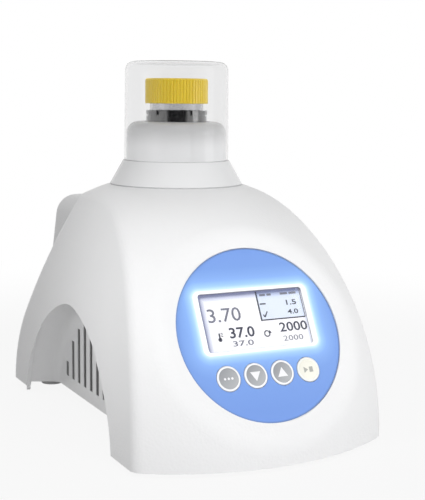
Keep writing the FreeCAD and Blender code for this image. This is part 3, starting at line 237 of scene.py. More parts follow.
plain_sky = faded(sky, seen_directly(sky), 0.0, 1.0, fill_light, 1.0)
looking = add(sky, "ShaderNodeTexCoord").outputs["Generated"]
towards_flag = vector_maths(sky, "DOT_PRODUCT", {0: looking, 1: flag_direction})
on_flag = faded(sky, towards_flag, math.cos(flag_edge), math.cos(flag_core), curve="SMOOTHSTEP")
was_mirrored = maths(sky, "MINIMUM", add(sky, "ShaderNodeLightPath").outputs["Glossy Depth"], 1.0)
darkening = maths(sky, "MULTIPLY", maths(sky, "MULTIPLY", on_flag, was_mirrored), flag_depth)
sky_strength = maths(sky, "MULTIPLY", plain_sky, maths(sky, "SUBTRACT", 1.0, darkening))
background = add(sky, "ShaderNodeBackground", {"Color": (1, 1, 1, 1), "Strength": sky_strength})
add(sky, "ShaderNodeOutputWorld", {"Surface": background.outputs[0]})
print("world: fill light", fill_light, "and a white backdrop")

# %% [markdown]
# ## Bench
# The bench is a plain pale disc. Close to the instrument it is mostly plain white, with a little of
# an ordinary matt surface that takes the shadow, so the shadow stays faint. Farther out it is white
# altogether, so that no horizon shows. Only rays that look at the bench see that white: the light
# that it throws back onto the instrument comes from the matt surface.

# %% Bench disc
bench_radius = 3.0
bench_mesh = bpy.data.meshes.new("bench")
disc = bmesh.new()
bmesh.ops.create_circle(disc, cap_ends=True, segments=96, radius=bench_radius)
disc.to_mesh(bench_mesh)
disc.free()
bench = bpy.data.objects.new("bench", bench_mesh)
scene.collection.objects.link(bench)
print("bench: radius", bench_radius, "m")

# %% Bench finish
fade_start = 0.2
fade_end = 0.55
near_white = 0.9

bench_finish = bpy.data.materials.new("bench_paper")
bench_finish.use_nodes = True
tree = bench_finish.node_tree
tree.nodes.clear()
paper = add(tree, "ShaderNodeBsdfPrincipled", {"Base Color": (0.55, 0.55, 0.55, 1), "Roughness": 0.9,
                                               "Specular IOR Level": 0.1})
white = add(tree, "ShaderNodeEmission", {"Color": (1, 1, 1, 1), "Strength": 1.0})
reach = vector_maths(tree, "LENGTH", {0: own_place(tree)})
whiteness = faded(tree, reach, fade_start, fade_end, before=near_white, curve="SMOOTHSTEP")
share = maths(tree, "MULTIPLY", whiteness, seen_directly(tree))
surface = add(tree, "ShaderNodeMixShader", {0: share, 1: paper.outputs[0], 2: white.outputs[0]})
add(tree, "ShaderNodeOutputMaterial", {"Surface": surface.outputs[0]})
bench_mesh.materials.append(bench_finish)
print("bench whitens from", fade_start, "to", fade_end, "m")

# %% [markdown]
# ## Shared effects
# Moulded plastic looks moulded because of three things that hardly show: a fine spark-eroded grain
# that the mould gives it, a gloss that differs a little from place to place, and a colour that isn't
# quite even. Brushed metal has fine lines in place of the grain. Each is made once as a node group
# with its own inputs, and every finish places the group with its own values.


# %% Group maker
def new_group(name, kind, inputs, outputs):
    """Empty node group with named sockets; returns the tree and its two end nodes."""
    group = bpy.data.node_groups.new(name, kind)
    for label, (socket_type, value) in inputs.items():
        socket = group.interface.new_socket(label, in_out="INPUT", socket_type=socket_type)
        if value is not None:
            socket.default_value = value
    for label, socket_type in outputs.items():
        group.interface.new_socket(label, in_out="OUTPUT", socket_type=socket_type)
    return group, group.nodes.new("NodeGroupInput"), group.nodes.new("NodeGroupOutput")


def sized_place(tree, size):
    """Object coordinates divided by a size, for patterns of that size."""
    return vector_maths(tree, "SCALE", {0: own_place(tree), "Scale": maths(tree, "DIVIDE", 1.0, size)})


print("group maker ready")

# %% Grain group
speckle_height = 0.5
grain, start, end = new_group("moulded_grain", "ShaderNodeTree",
                              {"Cell": ("NodeSocketFloat", 0.8 * mm)}, {"Height": "NodeSocketFloat"})
spots = sized_place(grain, start.outputs["Cell"])
cells = add(grain, "ShaderNodeTexVoronoi", {"Vector": spots, "Scale": 1.0, "Smoothness": 0.6},
            feature="SMOOTH_F1")
speckle = add(grain, "ShaderNodeTexNoise", {"Vector": spots, "Scale": 2.6, "Detail": 2.0})
height = maths(grain, "MULTIPLY_ADD", speckle.outputs["Fac"], speckle_height, cells.outputs["Distance"])
fill(grain, end, {"Height": height})
print("moulded_grain:", len(grain.nodes), "nodes")

# %% Sheen group
noise_middle = 0.5
sheen, start, end = new_group("handled_sheen", "ShaderNodeTree",
                              {"Roughness": ("NodeSocketFloat", 0.4), "Swing": ("NodeSocketFloat", 0.06),
                               "Patch": ("NodeSocketFloat", 30 * mm)}, {"Roughness": "NodeSocketFloat"})
smears = add(sheen, "ShaderNodeTexNoise", {"Vector": sized_place(sheen, start.outputs["Patch"]),
                                           "Scale": 1.0, "Detail": 4.0, "Roughness": 0.6})
centred = maths(sheen, "SUBTRACT", smears.outputs["Fac"], noise_middle)
rough = maths(sheen, "MULTIPLY_ADD", centred, start.outputs["Swing"], start.outputs["Roughness"])
fill(sheen, end, {"Roughness": rough})
print("handled_sheen:", len(sheen.nodes), "nodes")

# %% Colour group
drift, start, end = new_group("colour_drift", "ShaderNodeTree",
                              {"Colour": ("NodeSocketColor", (0.8, 0.8, 0.8, 1)),
                               "Other": ("NodeSocketColor", (0.7, 0.7, 0.7, 1)),
                               "Patch": ("NodeSocketFloat", 40 * mm)}, {"Color": "NodeSocketColor"})
clouds = add(drift, "ShaderNodeTexNoise", {"Vector": sized_place(drift, start.outputs["Patch"]),
                                           "Scale": 1.0, "Detail": 3.0})
fill(drift, end, {"Color": mixed(drift, clouds.outputs["Fac"], start.outputs["Colour"],
                                 start.outputs["Other"])})
print("colour_drift:", len(drift.nodes), "nodes")

# %% Brushing group
line_stretch = (1.0, 1.0, 0.04)
brushing, start, end = new_group("brushed_lines", "ShaderNodeTree",
                                 {"Line": ("NodeSocketFloat", 0.25 * mm)}, {"Height": "NodeSocketFloat"})
stretched = vector_maths(brushing, "MULTIPLY", {0: sized_place(brushing, start.outputs["Line"]),
                                                1: line_stretch})
lines = add(brushing, "ShaderNodeTexNoise", {"Vector": stretched, "Scale": 1.0, "Detail": 3.0})
fill(brushing, end, {"Height": lines.outputs["Fac"]})
print("brushed_lines:", len(brushing.nodes), "nodes")

# %% [markdown]
# ## Finishes
# One function builds an opaque finish: the three groups feed Base Color, Roughness and a Bump node,
# and whatever is the same all over is typed into the shader's own sockets. Every finish is kept by
# its name, so that the pieces can ask for it later.


# %% Opaque finish
finishes = {}


def shader_of(name, plain):
    """New finish with one Principled shader; plain holds the values that are the same all over."""
    finishes[name] = bpy.data.materials.new(name)
    finishes[name].use_nodes = True
    tree = finishes[name].node_tree
    shader = tree.nodes["Principled BSDF"]
    fill(tree, shader, plain)
    return tree, shader


def use(tree, group, **inputs):
    """Place a shared group in a material with its own values."""
    return add(tree, "ShaderNodeGroup", inputs, node_tree=group).outputs[0]


def bumped(tree, shader, height, depth):
    """Let a height push the surface in and out by depth metres."""
    bump = add(tree, "ShaderNodeBump", {"Height": height, "Distance": depth, "Strength": 1.0})
    fill(tree, shader, {"Normal": bump.outputs[0]})


def moulded(name, colour, other, roughness, swing=0.06, cell=0.8 * mm, depth=0.03 * mm, patch=35 * mm,
            relief=grain, **plain):
    """Opaque finish with drifting colour, uneven gloss and a fine relief."""
    tree, shader = shader_of(name, plain)
    fill(tree, shader, {
        "Base Color": use(tree, drift, Colour=(*colour, 1), Other=(*other, 1), Patch=patch),
        "Roughness": use(tree, sheen, Roughness=roughness, Swing=swing, Patch=patch)})
    size_name = "Cell" if relief is grain else "Line"
    bumped(tree, shader, use(tree, relief, **{size_name: cell}), depth)


print("opaque finish ready")

# %% [markdown]
# The white housing and the light grey, smoother collar are what the eye meets first. The housing has
# a visible mould grain about a millimetre across. The collar comes out of a polished mould, so it is
# shinier and shows the lamps as soft streaks.

# %% White mouldings
moulded("housing_plastic", (0.86, 0.86, 0.865), (0.83, 0.832, 0.838), 0.42, swing=0.10, cell=1.2 * mm,
        depth=0.07 * mm)
moulded("collar_plastic", (0.76, 0.762, 0.767), (0.73, 0.733, 0.74), 0.24, cell=1.6 * mm, depth=0.01 * mm)
moulded("base_grey", (0.50, 0.505, 0.515), (0.45, 0.455, 0.465), 0.5)
moulded("bush_ptfe", (0.82, 0.82, 0.80), (0.78, 0.78, 0.76), 0.45)
moulded("filter_white", (0.85, 0.85, 0.83), (0.78, 0.78, 0.76), 0.85, cell=0.3 * mm, depth=0.05 * mm)
moulded("ceramic_white", (0.82, 0.81, 0.78), (0.76, 0.75, 0.72), 0.6)
moulded("seal_grey", (0.55, 0.55, 0.56), (0.48, 0.48, 0.49), 0.6)
moulded("foot_pale", (0.86, 0.86, 0.86), (0.80, 0.80, 0.80), 0.6)
print("white and grey finishes:", len(finishes))

# %% [markdown]
# Two places get painted shade by where they lie on the piece. The walls of the slots in the side
# recesses are darkened, as painted shade in the slots. The collar is darkened round its top edge,
# under the clear cover, as painted shade too. Both tones are a number that multiplies the finish's colour.


# %% Painted shade in the slots
def with_painted_shade(name, tone):
    """Paint shade onto a finish: multiply its colour by a tone of at most 1."""
    tree = finishes[name].node_tree
    shader = tree.nodes["Principled BSDF"]
    plain_colour = shader.inputs["Base Color"].links[0].from_socket
    fill(tree, shader, {"Base Color": vector_maths(tree, "SCALE", {0: plain_colour, "Scale": tone})})


# Painted shade: the next lines darken the housing's colour on the walls of the slots.
recess_wall_x = 50.5 * mm
wall_skin = 0.1 * mm
full_tone_depth = 0.5 * mm
slots_middle = (0, 8.8 * mm, 33 * mm)
slots_half_length = 45 * mm
slots_half_height = 25 * mm
slot_painted_shade = 0.42
tree = finishes["housing_plastic"].node_tree
from_slots = vector_maths(tree, "SUBTRACT", {0: own_place(tree), 1: slots_middle})
folded = vector_maths(tree, "ABSOLUTE", {0: from_slots})
side, along, rise = add(tree, "ShaderNodeSeparateXYZ", {0: folded}).outputs
behind_wall = faded(tree, side, recess_wall_x - wall_skin, recess_wall_x - full_tone_depth)
within = maths(tree, "MULTIPLY", maths(tree, "LESS_THAN", along, slots_half_length),
               maths(tree, "LESS_THAN", rise, slots_half_height))
slot_shade_mask = maths(tree, "MULTIPLY", behind_wall, within)
with_painted_shade("housing_plastic", maths(tree, "MULTIPLY_ADD", slot_shade_mask, slot_painted_shade - 1.0, 1.0))
print("slot walls toned to", slot_painted_shade)

# %% Painted shade on the collar
# Painted shade: the collar's colour darkens over its upper part, towards its top edge.
top_shade_reach = 15 * mm
top_shade_tone = 0.62
collar_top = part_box("neck_collar")[1][2]
tree = finishes["collar_plastic"].node_tree
height = add(tree, "ShaderNodeSeparateXYZ", {0: own_place(tree)}).outputs[2]
top_shade = faded(tree, height, collar_top - top_shade_reach, collar_top, 1.0, top_shade_tone, curve="SMOOTHSTEP")
with_painted_shade("collar_plastic", top_shade)
print("collar toned over its upper", round(top_shade_reach / mm, 1), "mm")

# %% [markdown]
# The cap is yellow polyethylene. Light enters it a little way and comes out again at its edges, so the
# shader gets some subsurface scattering and a warm sheen over an ochre base. The grip ring is polished
# black with a strong coat: what shows of it is mostly its reflections. The others are for the rubber,
# the fan, the sockets and what stands inside, and need no more than their colour, gloss and grain.

# %% Cap, ring and dark finishes
moulded("cap_yellow", (0.68, 0.50, 0.035), (0.60, 0.43, 0.03), 0.3, swing=0.1, cell=0.5 * mm,
        depth=0.01 * mm, patch=9 * mm,
        **{"Subsurface Weight": 0.1, "Subsurface Scale": 2 * mm, "Subsurface Radius": (1.0, 0.6, 0.1),
           "Sheen Weight": 0.9, "Sheen Roughness": 0.35, "Sheen Tint": (1.0, 0.82, 0.12, 1)})
moulded("grip_black", (0.004, 0.004, 0.005), (0.008, 0.008, 0.009), 0.14, cell=0.6 * mm,
        depth=0.004 * mm,
        **{"Specular IOR Level": 0.9, "Coat Weight": 1.0, "Coat IOR": 2.0, "Coat Roughness": 0.06})
moulded("rubber_black", (0.02, 0.02, 0.021), (0.032, 0.031, 0.03), 0.7)
moulded("part_black", (0.018, 0.018, 0.02), (0.03, 0.03, 0.031), 0.45)
moulded("fan_black", (0.022, 0.022, 0.024), (0.032, 0.032, 0.034), 0.4)
moulded("detector_dark", (0.03, 0.01, 0.02), (0.02, 0.01, 0.02), 0.2)
moulded("ferrite", (0.06, 0.055, 0.05), (0.09, 0.08, 0.07), 0.6, depth=0.06 * mm)
moulded("foam_grey", (0.16, 0.16, 0.17), (0.10, 0.10, 0.11), 0.95, cell=1.4 * mm, depth=0.4 * mm)
moulded("board_green", (0.02, 0.17, 0.07), (0.03, 0.22, 0.09), 0.3, cell=2.5 * mm, depth=0.03 * mm,
        patch=4 * mm)
print("dark finishes added, finishes in all:", len(finishes))

# %% [markdown]
# The screws, the sleeve round the tube, the heat sink and the motor are metal. There the colour is
# that of the reflection, so each metal is a faintly cool grey that drifts to a duller one, and the
# brushed lines take the place of the grain.

# %% Metals
cool_tint = 1.02
dull_share = 0.85
dull_tint = 0.86
for name, shade, roughness in (("steel_zinc", 0.36, 0.3), ("alloy", 0.7, 0.38), ("motor_can", 0.5, 0.34)):
    bright = (shade, shade, shade * cool_tint)
    dull = (shade * dull_share, shade * dull_share, shade * dull_tint)
    moulded(name, bright, dull, roughness, cell=0.25 * mm, depth=0.01 * mm, relief=brushing, Metallic=1.0)
print("metals added, finishes in all:", len(finishes))

# %% [markdown]
# ## Clear finishes
# The cover, the window and the tube are clear. A clear shader bends and tints what is behind it, but
# its shadow would come out almost black, because shadow rays aren't bent through it. The usual cure
# is an Alpha that is low for shadow rays only, so the lamps still reach what stands inside.


# %% Clear finish
def clear(name, colour, roughness, swing, shadow_share=0.15, ior=1.49):
    """Clear plastic or glass that lets most of the lamps' light through."""
    tree, shader = shader_of(name, {"Transmission Weight": 1.0, "IOR": ior, "Base Color": (*colour, 1)})
    shadow = add(tree, "ShaderNodeLightPath").outputs["Is Shadow Ray"]
    fill(tree, shader, {"Roughness": use(tree, sheen, Roughness=roughness, Swing=swing, Patch=25 * mm),
                        "Alpha": maths(tree, "MULTIPLY_ADD", shadow, shadow_share - 1.0, 1.0)})


clear("clear_plastic", (0.90, 0.90, 0.902), 0.05, 0.02, shadow_share=0.03, ior=1.2)
clear("display_clear", (0.98, 0.98, 0.985), 0.02, 0.02, ior=1.3)
clear("tube_clear", (0.74, 0.74, 0.75), 0.08, 0.05)
clear("emitter_clear", (0.75, 0.8, 0.95), 0.05, 0.03)
print("clear finishes added, finishes in all:", len(finishes))

# %% [markdown]
# ## The panel's own axes
# The round panel leans back. Its artwork is easiest to think of flat, so the next cell reads the
# film's plane from its mesh: the direction it faces, the direction up its slope, and its middle.
# A matrix then turns flat panel places into places on the instrument, and its inverse does the
# opposite.


# %% Panel axes
least_forward = 0.5
film = frame["nodes"]["panel_overlay"].data
facing = Vector((0, 0, 0))
for face in film.polygons:
    if -face.normal.y > least_forward and face.normal.z > 0:
        facing += face.normal * face.area
facing.normalize()
across = Vector((1, 0, 0))
upslope = facing.cross(across)
flat_axes = Matrix((across, upslope, facing))


def extent(points):
    """Lowest and highest corner of a set of points."""
    return (Vector([min(p[i] for p in points) for i in range(3)]),
            Vector([max(p[i] for p in points) for i in range(3)]))


def flat_box(name, origin=Vector((0, 0, 0))):
    """Lowest and highest corner of a piece along the panel's axes."""
    return extent([flat_axes @ (corner.co - origin) for corner in frame["nodes"][name].data.vertices])


low, high = flat_box("panel_overlay")
panel_middle = flat_axes.transposed() @ Vector(((low.x + high.x) / 2, (low.y + high.y) / 2, high.z))
panel_place = Matrix.Translation(panel_middle) @ flat_axes.transposed().to_4x4()
film_radius = (high.x - low.x) / 2
panel_lean = 90 - math.degrees(facing.angle(Vector((0, 0, 1))))
print("panel leans back", round(panel_lean, 1), "degrees; film radius", round(film_radius / mm, 2), "mm")

# %% [markdown]
# The window, the display under it and the four keys are read in the same flat places. The film's
# opening is a little wider than the window that is let into it.

# %% Window, display and keys in panel places
window_gap = 0.15 * mm
gap_round_window = Vector((window_gap, window_gap, 0))
window_low, window_high = flat_box("display_window", panel_middle)
opening_low = window_low - gap_round_window
opening_high = window_high + gap_round_window
opening_middle = (opening_low + opening_high) / 2
opening_half = (opening_high - opening_low) / 2
display_face_depth = flat_box("display_module", panel_middle)[1].z

key_names = ["button_select", "button_down", "button_up", "button_run"]
key_boxes = [flat_box(name, panel_middle) for name in key_names]
key_middles = [(corner_low + corner_high) / 2 for corner_low, corner_high in key_boxes]
key_top = key_boxes[0][1].z
print("opening", [round(2 * c / mm, 1) for c in opening_half[:2]], "mm; keys at",
      [round(c.x / mm, 1) for c in key_middles], "mm")

# %% [markdown]
# ## Rounded-frame group
# The film's glow, the white frame round the display and the shade along the display's edges all
# depend on one number: how far a point is from a rounded rectangle, less than nothing inside it.
# That number has a short formula. Fold the plane into one quarter, take the rectangle's half sizes
# off, and measure what is left over.

# %% Distance group
frame_inputs = {"Place": ("NodeSocketVector", None), "Half Width": ("NodeSocketFloat", 27 * mm),
                "Half Height": ("NodeSocketFloat", 14 * mm), "Corner": ("NodeSocketFloat", 3 * mm)}
rounded, start, end = new_group("rounded_frame_distance", "ShaderNodeTree", frame_inputs,
                                {"Distance": "NodeSocketFloat"})
split = add(rounded, "ShaderNodeSeparateXYZ", {0: start.outputs["Place"]})
outside = []
for axis, half in (("X", "Half Width"), ("Y", "Half Height")):
    folded = maths(rounded, "ABSOLUTE", split.outputs[axis])
    inner_half = maths(rounded, "SUBTRACT", start.outputs[half], start.outputs["Corner"])
    outside.append(maths(rounded, "SUBTRACT", folded, inner_half))
over = [maths(rounded, "MAXIMUM", part, 0.0) for part in outside]
squares = maths(rounded, "MULTIPLY_ADD", over[0], over[0], maths(rounded, "MULTIPLY", over[1], over[1]))
beyond = maths(rounded, "SQRT", squares)
inside = maths(rounded, "MINIMUM", maths(rounded, "MAXIMUM", outside[0], outside[1]), 0.0)
distance = maths(rounded, "SUBTRACT", maths(rounded, "ADD", beyond, inside), start.outputs["Corner"])
fill(rounded, end, {"Distance": distance})
print("rounded_frame_distance:", len(rounded.nodes), "nodes")

# %% [markdown]
# In a material, a Mapping node turns and moves the instrument's coordinates until a panel place is
# the origin and the film lies flat. A Color Ramp takes a share from 0 to 1, so distances in metres
# are divided by the farthest one first.


# %% Panel coordinates and ramps in a material
def flat_coordinates(tree, middle):
    """Object coordinates turned and moved so that a panel place is the origin."""
    centre = flat_axes @ (panel_place @ Vector(middle))
    inputs = {"Vector": own_place(tree), "Location": -centre, "Rotation": flat_axes.to_euler()}
    return add(tree, "ShaderNodeMapping", inputs, vector_type="POINT").outputs[0]


def flat_reach(tree, flat):
    """Distance from the origin, measured along the panel."""
    level = vector_maths(tree, "MULTIPLY", {0: flat, 1: (1, 1, 0)})
    return vector_maths(tree, "LENGTH", {0: level})


def frame_distance(tree, middle, half, corner):
    """Distance from a rounded rectangle round a panel place, in a material."""
    return use(tree, rounded, **{"Half Width": half.x, "Half Height": half.y, "Corner": corner,
                                 "Place": flat_coordinates(tree, (middle.x, middle.y, 0))})


def ramp(tree, value, reach, stops):
    """Colours along a value, given as distances in metres up to reach."""
    made = add(tree, "ShaderNodeValToRGB", {0: maths(tree, "DIVIDE", value, reach)})
    band = made.color_ramp
    while len(band.elements) < len(stops):
        band.elements.new(0.5)
    for element, (place, colour) in zip(band.elements, stops):
        element.position = place / reach
        element.color = (*colour, 1)
    return made.outputs[0]


print("panel coordinates turn by", [round(math.degrees(a), 1) for a in flat_axes.to_euler()], "degrees")

# %% [markdown]
# ## The blue film
# The film is printed polycarbonate. A white frame runs round the display, wider at the sides than
# above and below, and from it a pale glow fades into blue, because the backlight leaks into the film.
# The glow is painted light in the film's colour, with a little emitted light on top. A thin band of
# painted shade darkens the rim, where the film meets the housing.

# %% Blue film
frame_side = 2.4 * mm
frame_top = 1.2 * mm
frame_corner = 3.2 * mm
glow_reach = 30 * mm
# The white frame and the outer blue are print; the pale band between them is painted glow.
print_and_glow_stops = [
    (0.0 * mm, (0.97, 0.98, 0.98)), (0.4 * mm, (0.62, 0.82, 0.99)), (2.0 * mm, (0.36, 0.60, 0.96)),
    (5.0 * mm, (0.24, 0.43, 0.86)), (11.0 * mm, (0.19, 0.35, 0.78)), (28.0 * mm, (0.17, 0.32, 0.75))]
light_stops = [
    (0.0 * mm, (1.0, 1.0, 1.0)), (0.7 * mm, (0.5, 0.7, 0.9)), (3.0 * mm, (0.1, 0.2, 0.35)),
    (7.0 * mm, (0.0, 0.0, 0.0))]
# Painted shade: the film's colour darkens close to its rim, where it meets the housing.
rim_start = 0.9 * mm
rim_end = 0.2 * mm
rim_shade_tone = 0.7

tree, shader = shader_of("overlay_blue", {"Roughness": 0.32, "Emission Strength": 0.10})
gap = frame_distance(tree, opening_middle, opening_half + Vector((frame_side, frame_top, 0)), frame_corner)
print_and_glow_colour = ramp(tree, gap, glow_reach, print_and_glow_stops)
light_colour = ramp(tree, gap, glow_reach, light_stops)
out = flat_reach(tree, flat_coordinates(tree, (0, 0, 0)))
rim = faded(tree, out, film_radius - rim_start, film_radius - rim_end, 1.0, rim_shade_tone)
fill(tree, shader, {"Base Color": vector_maths(tree, "SCALE", {0: print_and_glow_colour, "Scale": rim}),
                    "Emission Color": light_colour})
bumped(tree, shader, use(tree, grain, Cell=0.35 * mm), 0.006 * mm)
print("film finish:", len(tree.nodes), "nodes")

# %% [markdown]
# ## The lit display
# The graphic display is lit from behind, so its face gives light of its own. Along its upper and left
# edges the film throws a shade onto it, drawn with the same distance group, moved a little to the
# lower right. The ramp can't start below nothing, so the depth is counted from a little outside. The
# readings in the upper right corner have their own field, a touch greyer.

# %% Display face
field_low = Vector((3.3 * mm, 6.6 * mm, 0))
field_high = Vector((27.6 * mm, 21.2 * mm, 0))
field_corner = 0.2 * mm
field_edge = 0.3 * mm
field_tint = (0.76, 0.83, 0.93, 1)
shade_shift = Vector((1.0 * mm, -1.5 * mm, 0))
shade_corner = 1.6 * mm
shade_margin = 2 * mm
shade_reach = 6 * mm
shade_stops = [
    (0.0 * mm, (0.10, 0.11, 0.22)), (1.9 * mm, (0.20, 0.22, 0.36)), (2.6 * mm, (0.50, 0.53, 0.68)),
    (4.2 * mm, (0.84, 0.86, 0.92)), (5.7 * mm, (0.90, 0.90, 0.915))]

tree, shader = shader_of("display_face", {"Roughness": 0.35, "Emission Strength": 0.22})
depth_out = frame_distance(tree, opening_middle + shade_shift, opening_half, shade_corner)
depth_in = maths(tree, "MULTIPLY", depth_out, -1.0)
shade = ramp(tree, maths(tree, "ADD", depth_in, shade_margin), shade_reach, shade_stops)
from_field = frame_distance(tree, (field_low + field_high) / 2, (field_high - field_low) / 2, field_corner)
tinted = mixed(tree, faded(tree, from_field, 0.0, -field_edge), shade, field_tint, blend_type="MULTIPLY")
fill(tree, shader, {"Base Color": tinted, "Emission Color": tinted})
bumped(tree, shader, use(tree, grain, Cell=0.3 * mm), 0.004 * mm)
print("display finish:", len(tree.nodes), "nodes")

# %% [markdown]
# ## Key finishes
# Each key is a grey or cream disc inside a pale ring, which is one moulding printed in two colours.
# The print follows the distance from the key's own middle, so every key has a finish whose Mapping
# node is centred on it.


# %% Keys
key_ring_inner = 4.95 * mm
key_ring_edge = 0.15 * mm
disc_slope = (90, -90, 0)
disc_slope_end = 0.5


def key_finish(name, middle, disc, disc_low, ring):
    """Pale ring round a coloured disc that is a little lighter towards its lower right."""
    tree, shader = shader_of(name, {"Roughness": 0.35, "Coat Weight": 0.3, "Coat Roughness": 0.2})
    flat = flat_coordinates(tree, middle)
    slope = vector_maths(tree, "DOT_PRODUCT", {0: flat, 1: disc_slope})
    lower_right = faded(tree, slope, -disc_slope_end, disc_slope_end)
    face = mixed(tree, lower_right, (*disc, 1), (*disc_low, 1))
    on_ring = faded(tree, flat_reach(tree, flat), key_ring_inner, key_ring_inner + key_ring_edge)
    fill(tree, shader, {"Base Color": mixed(tree, on_ring, face, (*ring, 1))})
    bumped(tree, shader, use(tree, grain, Cell=0.4 * mm), 0.006 * mm)
    return finishes[name]


grey_key = ((0.31, 0.32, 0.34), (0.43, 0.44, 0.46), (0.92, 0.93, 0.95))
cream_key = ((0.86, 0.85, 0.76), (0.90, 0.89, 0.80), (0.88, 0.89, 0.86))
key_finishes = {}
for name, middle in zip(key_names, key_middles):
    if name == "button_run":
        key_finishes[name] = key_finish("key_cream", middle, *cream_key)
    else:
        key_finishes[name] = key_finish("key_grey_" + name, middle, *grey_key)
print("key finishes:", ", ".join(key_finishes))

# %% [markdown]
# ## Dress the CAD pieces
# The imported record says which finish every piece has. Each mesh came in with one plain material
# slot, and the new finish goes into that slot. The pieces themselves aren't touched. A few pieces
# have a finish of their own: the keys, the thin grey seal under the collar, and the pale feet.

# %% Dress
own_finishes = {**key_finishes, "collar_gasket": finishes["seal_grey"]}
own_finishes.update({name: finishes["foot_pale"] for name in frame["nodes"] if name.startswith("foot_")})
for subpart in frame["record"]["subparts"]:
    name = subpart["node"]
    finish = own_finishes.get(name) or finishes[subpart["material_slot"]]
    frame["nodes"][name].data.materials[0] = finish

# %% [markdown]
# ## Pieces grown by Geometry Nodes
# Some pieces follow a rule: a turned cover, a helix, four equal screws. For those a node tree is the
# best drawing, because its named inputs are the piece's sizes. The tree runs as a modifier on an
# empty mesh, or on a mesh that only holds the places of the screws. The result is then read back as
# a plain mesh, so the modifier can go. Merging what lies double closes the seam and the poles of a
# turned piece, and after that all faces are told to point outwards.


# %% Grow
merge_distance = 0.001 * mm


def grown(name, tree, values, places=()):
    """Run a geometry tree once and keep its result as a plain mesh."""
    start_mesh = bpy.data.meshes.new(name)
    start_mesh.from_pydata([tuple(place) for place in places], [], [])
    piece = bpy.data.objects.new(name, start_mesh)
    scene.collection.objects.link(piece)
    modifier = piece.modifiers.new("grow", "NODES")
    modifier.node_group = tree
    for item in tree.interface.items_tree:
        if item.in_out == "INPUT" and item.name in values:
            modifier[item.identifier] = values[item.name]
    ready = piece.evaluated_get(bpy.context.evaluated_depsgraph_get())
    plain = bpy.data.meshes.new_from_object(ready)
    piece.modifiers.remove(modifier)
    piece.data = plain
    tidy = bmesh.new()
    tidy.from_mesh(plain)
    bmesh.ops.remove_doubles(tidy, verts=tidy.verts, dist=merge_distance)
    bmesh.ops.recalc_face_normals(tidy, faces=tidy.faces)
    tidy.to_mesh(plain)
    tidy.free()
    print(name, "has", len(plain.polygons), "faces")
    return piece


# %% [markdown]
# The trees below share a few short steps: their sizes become named inputs, numbers become a point,
# geometries are joined or moved, and the last nodes are always the same two.


# %% Steps of a geometry tree
def sizes_and(sizes, **others):
    """Group inputs: lengths with their values, then sockets of other kinds."""
    inputs = {label: ("NodeSocketFloat", value) for label, value in sizes.items()}
    for label, socket_type in others.items():
        inputs[label] = (socket_type, None)
    return inputs


def point_at(tree, x=0.0, y=0.0, z=0.0):
    """Three numbers as one point."""
    return add(tree, "ShaderNodeCombineXYZ", {0: x, 1: y, 2: z}).outputs[0]


def moved(tree, geometry, by):
    """Shift a geometry."""
    return add(tree, "GeometryNodeTransform", {"Geometry": geometry, "Translation": by}).outputs[0]


def smoothed(tree, geometry):
    """Shade a geometry smooth."""
    return add(tree, "GeometryNodeSetShadeSmooth", {"Geometry": geometry}).outputs[0]


def joined(tree, *geometries):
    """Put several geometries into one."""
    whole = add(tree, "GeometryNodeJoinGeometry")
    for geometry in geometries:
        tree.links.new(geometry, whole.inputs[0])
    return whole.outputs[0]


def close_tree(tree, end, geometry, finish):
    """Realize what is instanced, give it its finish and end the tree."""
    real = add(tree, "GeometryNodeRealizeInstances", {"Geometry": geometry})
    painted = add(tree, "GeometryNodeSetMaterial", {"Geometry": real.outputs[0], "Material": finish})
    fill(tree, end, {"Geometry": painted.outputs[0]})


print("steps ready: sizes_and, point_at, moved, smoothed, joined, close_tree")

# %% [markdown]
# ## Clear cover
# The cover is a moulded cup turned upside down: a thin wall with a little draft, a round shoulder and
# a rounded rim. Clear walls show every flat spot as a bent reflection, so it is drawn again here as a
# turned section. Its outside is that of the CAD piece, and its wall is thinner, because a thick clear
# wall shows dark bent lines at its sides. The section's corner points are listed once, from the inner
# pole round the rim to the outer pole. Fillet Curve rounds the shoulder and the rim, and Curve to Mesh
# carries the section round a circle. The extra points beside each corner keep the flat parts flat.
# How far they stand from it is counted in corner radii, or in rim radii at the rim.

# %% Cover sizes
cover_low, cover_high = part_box("clear_cover")
cover_sizes = {"Radius": (cover_high[0] - cover_low[0]) / 2, "Height": cover_high[2] - cover_low[2],
               "Wall": 0.5 * mm, "Roof": 0.6 * mm, "Corner": 4.5 * mm, "Draft": 0.5 * mm, "Rim": 0.35 * mm}
tube_axis = Vector(((cover_low[0] + cover_high[0]) / 2, (cover_low[1] + cover_high[1]) / 2, 0))
print("cover:", {label: round(size / mm, 2) for label, size in cover_sizes.items()}, "mm")

# %% Cover section
shoulder_corners = 1.3
ceiling_corners = 1.2
knee_rims = 3.0
thimble, start, end = new_group(
    "turned_thimble", "GeometryNodeTree",
    sizes_and(cover_sizes, Foot="NodeSocketVector", Finish="NodeSocketMaterial"),
    {"Geometry": "NodeSocketGeometry"})
radius, height, wall, roof, corner, draft, rim = [start.outputs[label] for label in cover_sizes]
lean = maths(thimble, "DIVIDE", draft, height)
ceiling = maths(thimble, "SUBTRACT", height, roof)
shoulder = maths(thimble, "MULTIPLY_ADD", corner, -shoulder_corners, height)
knee = maths(thimble, "MULTIPLY", rim, knee_rims)
inner_corner = maths(thimble, "SUBTRACT", corner, wall)


def section_point(level, inset, corners_in=0.0):
    """Point of the section at a level, inset from the outer wall."""
    reach = maths(thimble, "SUBTRACT", radius, maths(thimble, "MULTIPLY", lean, level))
    reach = maths(thimble, "SUBTRACT", reach, inset)
    reach = maths(thimble, "MULTIPLY_ADD", corner, -corners_in, reach)
    return point_at(thimble, reach, level)


